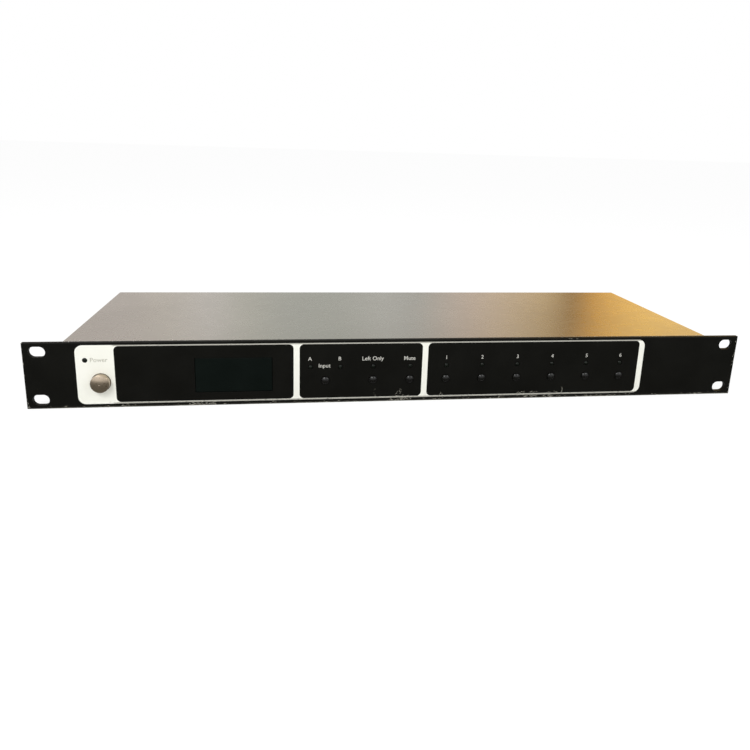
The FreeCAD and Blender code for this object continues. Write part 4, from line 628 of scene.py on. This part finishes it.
# A chip's outline: shares of its length, and of its thickness to either side
CHIP_SHAPE = ((0.0, 0.0), (0.2, 0.4), (0.5, 0.5), (0.8, 0.3), (1.0, 0.0),
              (0.75, -0.45), (0.45, -0.35), (0.2, -0.5))
SCRATCH = ((111.6, -19.0), (112.4, -17.8), (112.9, -16.4), (112.9, -15.2), (112.5, -14.0))
SCRATCH_WIDTH = (-0.26, 0.03)
# What the draws leave of a chip's length, thickness, lean and sides, from and to
LENGTHS, THICKNESSES, LEANS, SIDES = (0.35, 1.0), (0.5, 1.0), (0.4, 1.4), (0.6, 1.0)
# A power that crowds the chips towards the foot of their cluster
CROWDED_LOW = 1.5
SEED = 5
# Each chip stands a little higher than the last, so that no two lie in one plane.
CHIP_LIFT, CHIP_STEP = 1.1, 0.002


def chip_outlines():
    """Thin slivers strewn over each cluster, and one long curved scratch, in millimetres."""
    draw = random.Random(SEED)
    outlines = []
    for left, right, low, high, count, longest, thickest, lean in CHIPS:
        for _ in range(count):
            length = longest * draw.uniform(*LENGTHS)
            thick = thickest * draw.uniform(*THICKNESSES)
            angle = math.radians(lean * draw.uniform(*LEANS) * draw.choice((1, 1, -1)))
            x = draw.uniform(left, right)
            z = low + (high - low) * draw.random() ** CROWDED_LOW
            outline = []
            for share, side in CHIP_SHAPE:
                run = (share - 0.5) * length
                off = side * thick * draw.uniform(*SIDES)
                outline.append((x + run * math.cos(angle) - off * math.sin(angle),
                                z + run * math.sin(angle) + off * math.cos(angle)))
            outlines.append(outline)
    right, up = SCRATCH_WIDTH
    outlines.append([*SCRATCH, *((x + right, z + up) for x, z in reversed(SCRATCH))])
    return outlines


def chips(name, y, finish):
    """Lays each outline on a face at y as a thin slab of bare metal."""
    corners, faces = [], []
    for number, outline in enumerate(chip_outlines()):
        lift = INK * (CHIP_LIFT + CHIP_STEP * number)
        first, turns = len(corners), len(outline)
        corners += [(x * MM, y, z * MM) for x, z in outline]
        corners += [(x * MM, y - lift, z * MM) for x, z in outline]
        faces.append(tuple(first + turns + step for step in range(turns)))
        for step in range(turns):
            after = (step + 1) % turns
            faces.append((first + step, first + after,
                          first + turns + after, first + turns + step))
    shape = bpy.data.meshes.new(name)
    shape.from_pydata(corners, [], faces)
    joined = bmesh.new()
    joined.from_mesh(shape)
    bmesh.ops.recalc_face_normals(joined, faces=joined.faces)
    joined.to_mesh(shape)
    joined.free()
    shape.materials.append(finish.material)
    piece = linked(name, shape)
    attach(piece, "chassis")


chips("front_chips", FACE, bare_metal)


# Printed words, in millimetres

TEXT = 3.85
TEXT_SPREAD = 0.004 * TEXT
TEXT_STEPS = 4
CHANNELS = 6
# Marks: the text, the middle of its foot and its scale
FRONT_MARKS = (("A", -63.8, 8.0, 0.95), ("B", -44.2, 7.9, 0.95), ("Input", -54.3, 3.1, 1.0),
               ("Left Only", -22.1, 7.7, 1.0), ("Mute", 2.8, 7.6, 1.0))
POWER_MARKS = (("Power", -196.2, 9.05, 1.05),)
INPUT_MARKS = (("A", -103.5, 0.0, 0.9), ("B", -28.5, 0.0, 0.9))
# Numbers of the channels: where the first stands, the pitch, the foot and the scale
KEY_NUMBERS = (28.2, 25.0, 7.8, 0.95)
JACK_NUMBERS = (62.0, 26.0, 17.0, 0.8)


def words(name, rows, y, finish, back=False):
    """Prints rows of marks on a face at y."""
    joined = bmesh.new()
    for text, x, z, scale in rows:
        curve = bpy.data.curves.new(name, "FONT")
        curve.body = text
        curve.align_x = "CENTER"
        curve.size = TEXT * scale * MM
        curve.extrude = INK / 2
        curve.offset = TEXT_SPREAD * MM
        curve.resolution_u = TEXT_STEPS
        shape = upright_mesh(name, curve, (x * MM, y, z * MM), back)
        joined.from_mesh(shape)
        bpy.data.meshes.remove(shape)
    shape = bpy.data.meshes.new(name)
    joined.to_mesh(shape)
    joined.free()
    piece = linked(name, shape)
    shape.materials.append(finish.material)
    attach(piece, "chassis")
    return piece


def numbered(first, pitch, z, scale):
    """The marks that number the channels."""
    return [(str(number + 1), first + pitch * number, z, scale) for number in range(CHANNELS)]


lettering = words("front_lettering", [*FRONT_MARKS, *numbered(*KEY_NUMBERS)],
                  FACE - INK / 2, ink_white)
# The power button's word lies on the white print, one ink higher than the others.
power_word = words("power_lettering", POWER_MARKS, FACE - 1.5 * INK, ink_grey)

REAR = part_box("rear_panel")[1].y
rear_lettering = words("rear_lettering", [*numbered(*JACK_NUMBERS), *INPUT_MARKS],
                       REAR + INK / 2, ink_white, back=True)


# Stage, in metres

FLOOR, FLOOR_REACH = cad_box[0].z, 30
FLOOR_PAINT = (0.9, 0.9, 0.9, 1.0)
FLOOR_GLOW, FLOOR_GLOW_SHARE = 1.14, 0.75
SKY_LIGHT, SKY_SEEN = 0.55, 1.0


class StageFinish(Nodes):
    """A material of the stage, built up from nothing."""

    def __init__(self, name):
        self.material = bpy.data.materials.new(name)
        self.material.use_nodes = True
        super().__init__(self.material.node_tree)
        self.tree.nodes.clear()

    def place(self):
        """The X, Y and Z of a point."""
        return self.split(self.node("ShaderNodeTexCoord").outputs["Object"])

    def glow(self, colour, strength):
        glow = self.node("ShaderNodeEmission")
        self.put(glow.inputs["Color"], colour)
        self.put(glow.inputs["Strength"], strength)
        return glow.outputs["Emission"]

    def show(self, shader):
        self.link(shader, self.node("ShaderNodeOutputMaterial").inputs["Surface"])


def seen_directly(nodes):
    """1 for rays from the camera, and for those that metal and glass send on."""
    rays = nodes.node("ShaderNodeLightPath").outputs
    return nodes.maths("MAXIMUM", rays["Is Camera Ray"], rays["Is Glossy Ray"],
                       rays["Is Transmission Ray"])


def plane(name, corners, finish):
    shape = bpy.data.meshes.new(name)
    shape.from_pydata(corners, [], [(0, 1, 2, 3)])
    shape.materials.append(finish.material)
    piece = linked(name, shape)
    return piece


def gloss_only(piece):
    """Hides a piece from all but the rays of gloss."""
    piece.visible_camera = False
    piece.visible_diffuse = False
    piece.visible_shadow = False
    piece.visible_transmission = False


def make_floor():
    """A white floor that glows towards the camera."""
    finish = StageFinish("floor_finish")
    paint = finish.node("ShaderNodeBsdfDiffuse")
    paint.inputs["Color"].default_value = FLOOR_PAINT
    mix = finish.node("ShaderNodeMixShader")
    share = finish.maths("MULTIPLY", seen_directly(finish), FLOOR_GLOW_SHARE)
    finish.link(share, mix.inputs["Fac"])
    finish.link(paint.outputs["BSDF"], mix.inputs[1])
    finish.link(finish.glow(WHITE, FLOOR_GLOW), mix.inputs[2])
    finish.show(mix.outputs["Shader"])
    return finish


plane("floor", [(-FLOOR_REACH, -FLOOR_REACH, FLOOR), (FLOOR_REACH, -FLOOR_REACH, FLOOR),
                (FLOOR_REACH, FLOOR_REACH, FLOOR), (-FLOOR_REACH, FLOOR_REACH, FLOOR)],
      make_floor())

CARD_LEFT, CARD_RIGHT, CARD_LOW, CARD_HIGH, CARD_BACK = -1.1, 1.3, -0.02, 2.0, 0.7
# Stops of the card's light: how far right, and the linear colour there
CARD_STOPS = (
    (CARD_LEFT, (0.719, 0.654, 0.617)),
    (-0.356, (0.719, 0.654, 0.617)),
    (-0.292, (0.782, 0.723, 0.658)),
    (-0.218, (0.831, 0.786, 0.762)),
    (-0.160, (0.698, 0.685, 0.617)),
    (-0.083, (0.604, 0.614, 0.572)),
    (0.012, (0.599, 0.607, 0.562)),
    (0.092, (0.697, 0.691, 0.657)),
    (0.151, (0.595, 0.598, 0.568)),
    (0.247, (0.880, 0.717, 0.606)),
    (0.331, (0.984, 0.752, 0.504)),
    (0.411, (0.905, 0.641, 0.321)),
    (0.452, (0.337, 0.177, 0.041)),
    (0.491, (1.137, 0.562, 0.099)),
    (0.535, (1.496, 0.844, 0.200)),
    (0.615, (1.805, 1.118, 0.309)),
    (CARD_RIGHT, (1.0, 0.9, 0.75)),
)
# The warm right part darkens upwards: from where to where along and up, and by how much
CARD_LEVEL = 1.08
DARKER_ALONG, DARKER_UP, LOSS = (0.15, 0.40), (0.13, 0.28), (0.06, 0.46)


def make_card():
    """A wide soft card behind the object, cool in the middle and warm on the right."""
    finish = StageFinish("card_finish")
    along, _, up = finish.place()
    ramp = finish.node("ShaderNodeValToRGB")
    finish.link(finish.ranged(along, CARD_LEFT, CARD_RIGHT), ramp.inputs["Fac"])
    elements = ramp.color_ramp.elements
    for end, (_, colour) in ((0, CARD_STOPS[0]), (1, CARD_STOPS[-1])):
        elements[end].position, elements[end].color = end, (*colour, 1.0)
    for x, colour in CARD_STOPS[1:-1]:
        share = (x - CARD_LEFT) / (CARD_RIGHT - CARD_LEFT)
        elements.new(share).color = (*colour, 1.0)
    loss = finish.maths("MULTIPLY", finish.ranged(along, *DARKER_ALONG, *LOSS),
                        finish.ranged(up, *DARKER_UP))
    finish.show(finish.glow(ramp.outputs["Color"], finish.maths("SUBTRACT", CARD_LEVEL, loss)))
    return finish


card = plane("reflected_card",
             [(CARD_LEFT, CARD_BACK, CARD_LOW), (CARD_RIGHT, CARD_BACK, CARD_LOW),
              (CARD_RIGHT, CARD_BACK, CARD_HIGH), (CARD_LEFT, CARD_BACK, CARD_HIGH)],
             make_card())
gloss_only(card)

CLOTH_FAR, CLOTH_NEAR, CLOTH_SIDE, CLOTH_LIFT = -1.3, -0.004, 0.9, 0.0004
CLOTH = FLOOR + CLOTH_LIFT
CLOTH_TINT = (1.0, 0.95, 0.78, 1.0)
CLOTH_GLOW = (0.34, 0.10)


def make_cloth():
    """A dark cloth on the floor before the object."""
    finish = StageFinish("dim_finish")
    across = finish.place()[1]
    level = finish.ranged(across, CLOTH_FAR, CLOTH_NEAR, *CLOTH_GLOW)
    finish.show(finish.glow(CLOTH_TINT, level))
    return finish


cloth = plane("dim_cloth", [(-CLOTH_SIDE, CLOTH_FAR, CLOTH), (CLOTH_SIDE, CLOTH_FAR, CLOTH),
                            (CLOTH_SIDE, CLOTH_NEAR, CLOTH), (-CLOTH_SIDE, CLOTH_NEAR, CLOTH)],
              make_cloth())
gloss_only(cloth)

world = bpy.data.worlds.new("studio")
bpy.context.scene.world = world
world.use_nodes = True
sky = Nodes(world.node_tree)
background = sky.tree.nodes["Background"]
background.inputs["Color"].default_value = WHITE
sky.link(sky.between(seen_directly(sky), SKY_LIGHT, SKY_SEEN),
         background.inputs["Strength"])


# Lamps: name, place, size and power in watts
LAMPS = (("key_light", (-0.7, -0.9, 1.1), (0.7, 0.5), 10.5),
         ("side_light", (0.9, -0.7, 0.9), (0.4, 0.3), 3.0))


def lamp(name, place, size, power):
    """A rectangular lamp that looks at the middle of the plate."""
    light = bpy.data.lights.new(name, "AREA")
    light.shape = "RECTANGLE"
    light.size, light.size_y = size
    light.energy = power
    piece = linked(name, light)
    piece.location = place
    piece.rotation_euler = (-Vector(place)).to_track_quat("-Z", "Y").to_euler()


for row in LAMPS:
    lamp(*row)


# Camera

YAW, PITCH, ROLL = (math.radians(value) for value in (-7.773, 13.647, 1.780))
CAMERA_PLACE = Vector((-75.585, -395.829, 145.263)) * MM
LENS, SHIFT_UP, CLIP_START = 30.09, -0.100, 0.01

forward = Vector((-math.sin(YAW) * math.cos(PITCH), math.cos(YAW) * math.cos(PITCH),
                  -math.sin(PITCH)))
level = Vector((math.cos(YAW), math.sin(YAW), 0.0))
upright = level.cross(forward)
right = math.cos(ROLL) * level + math.sin(ROLL) * upright
up = -math.sin(ROLL) * level + math.cos(ROLL) * upright
turn = Matrix((right, up, -forward)).transposed().to_4x4()
camera_data = bpy.data.cameras.new("camera")
camera_data.lens = LENS
camera_data.shift_y = SHIFT_UP
camera_data.clip_start = CLIP_START
camera = linked("camera", camera_data)
camera.matrix_world = Matrix.Translation(CAMERA_PLACE) @ turn
bpy.context.scene.camera = camera

bpy.context.scene.view_settings.view_transform = "Standard"
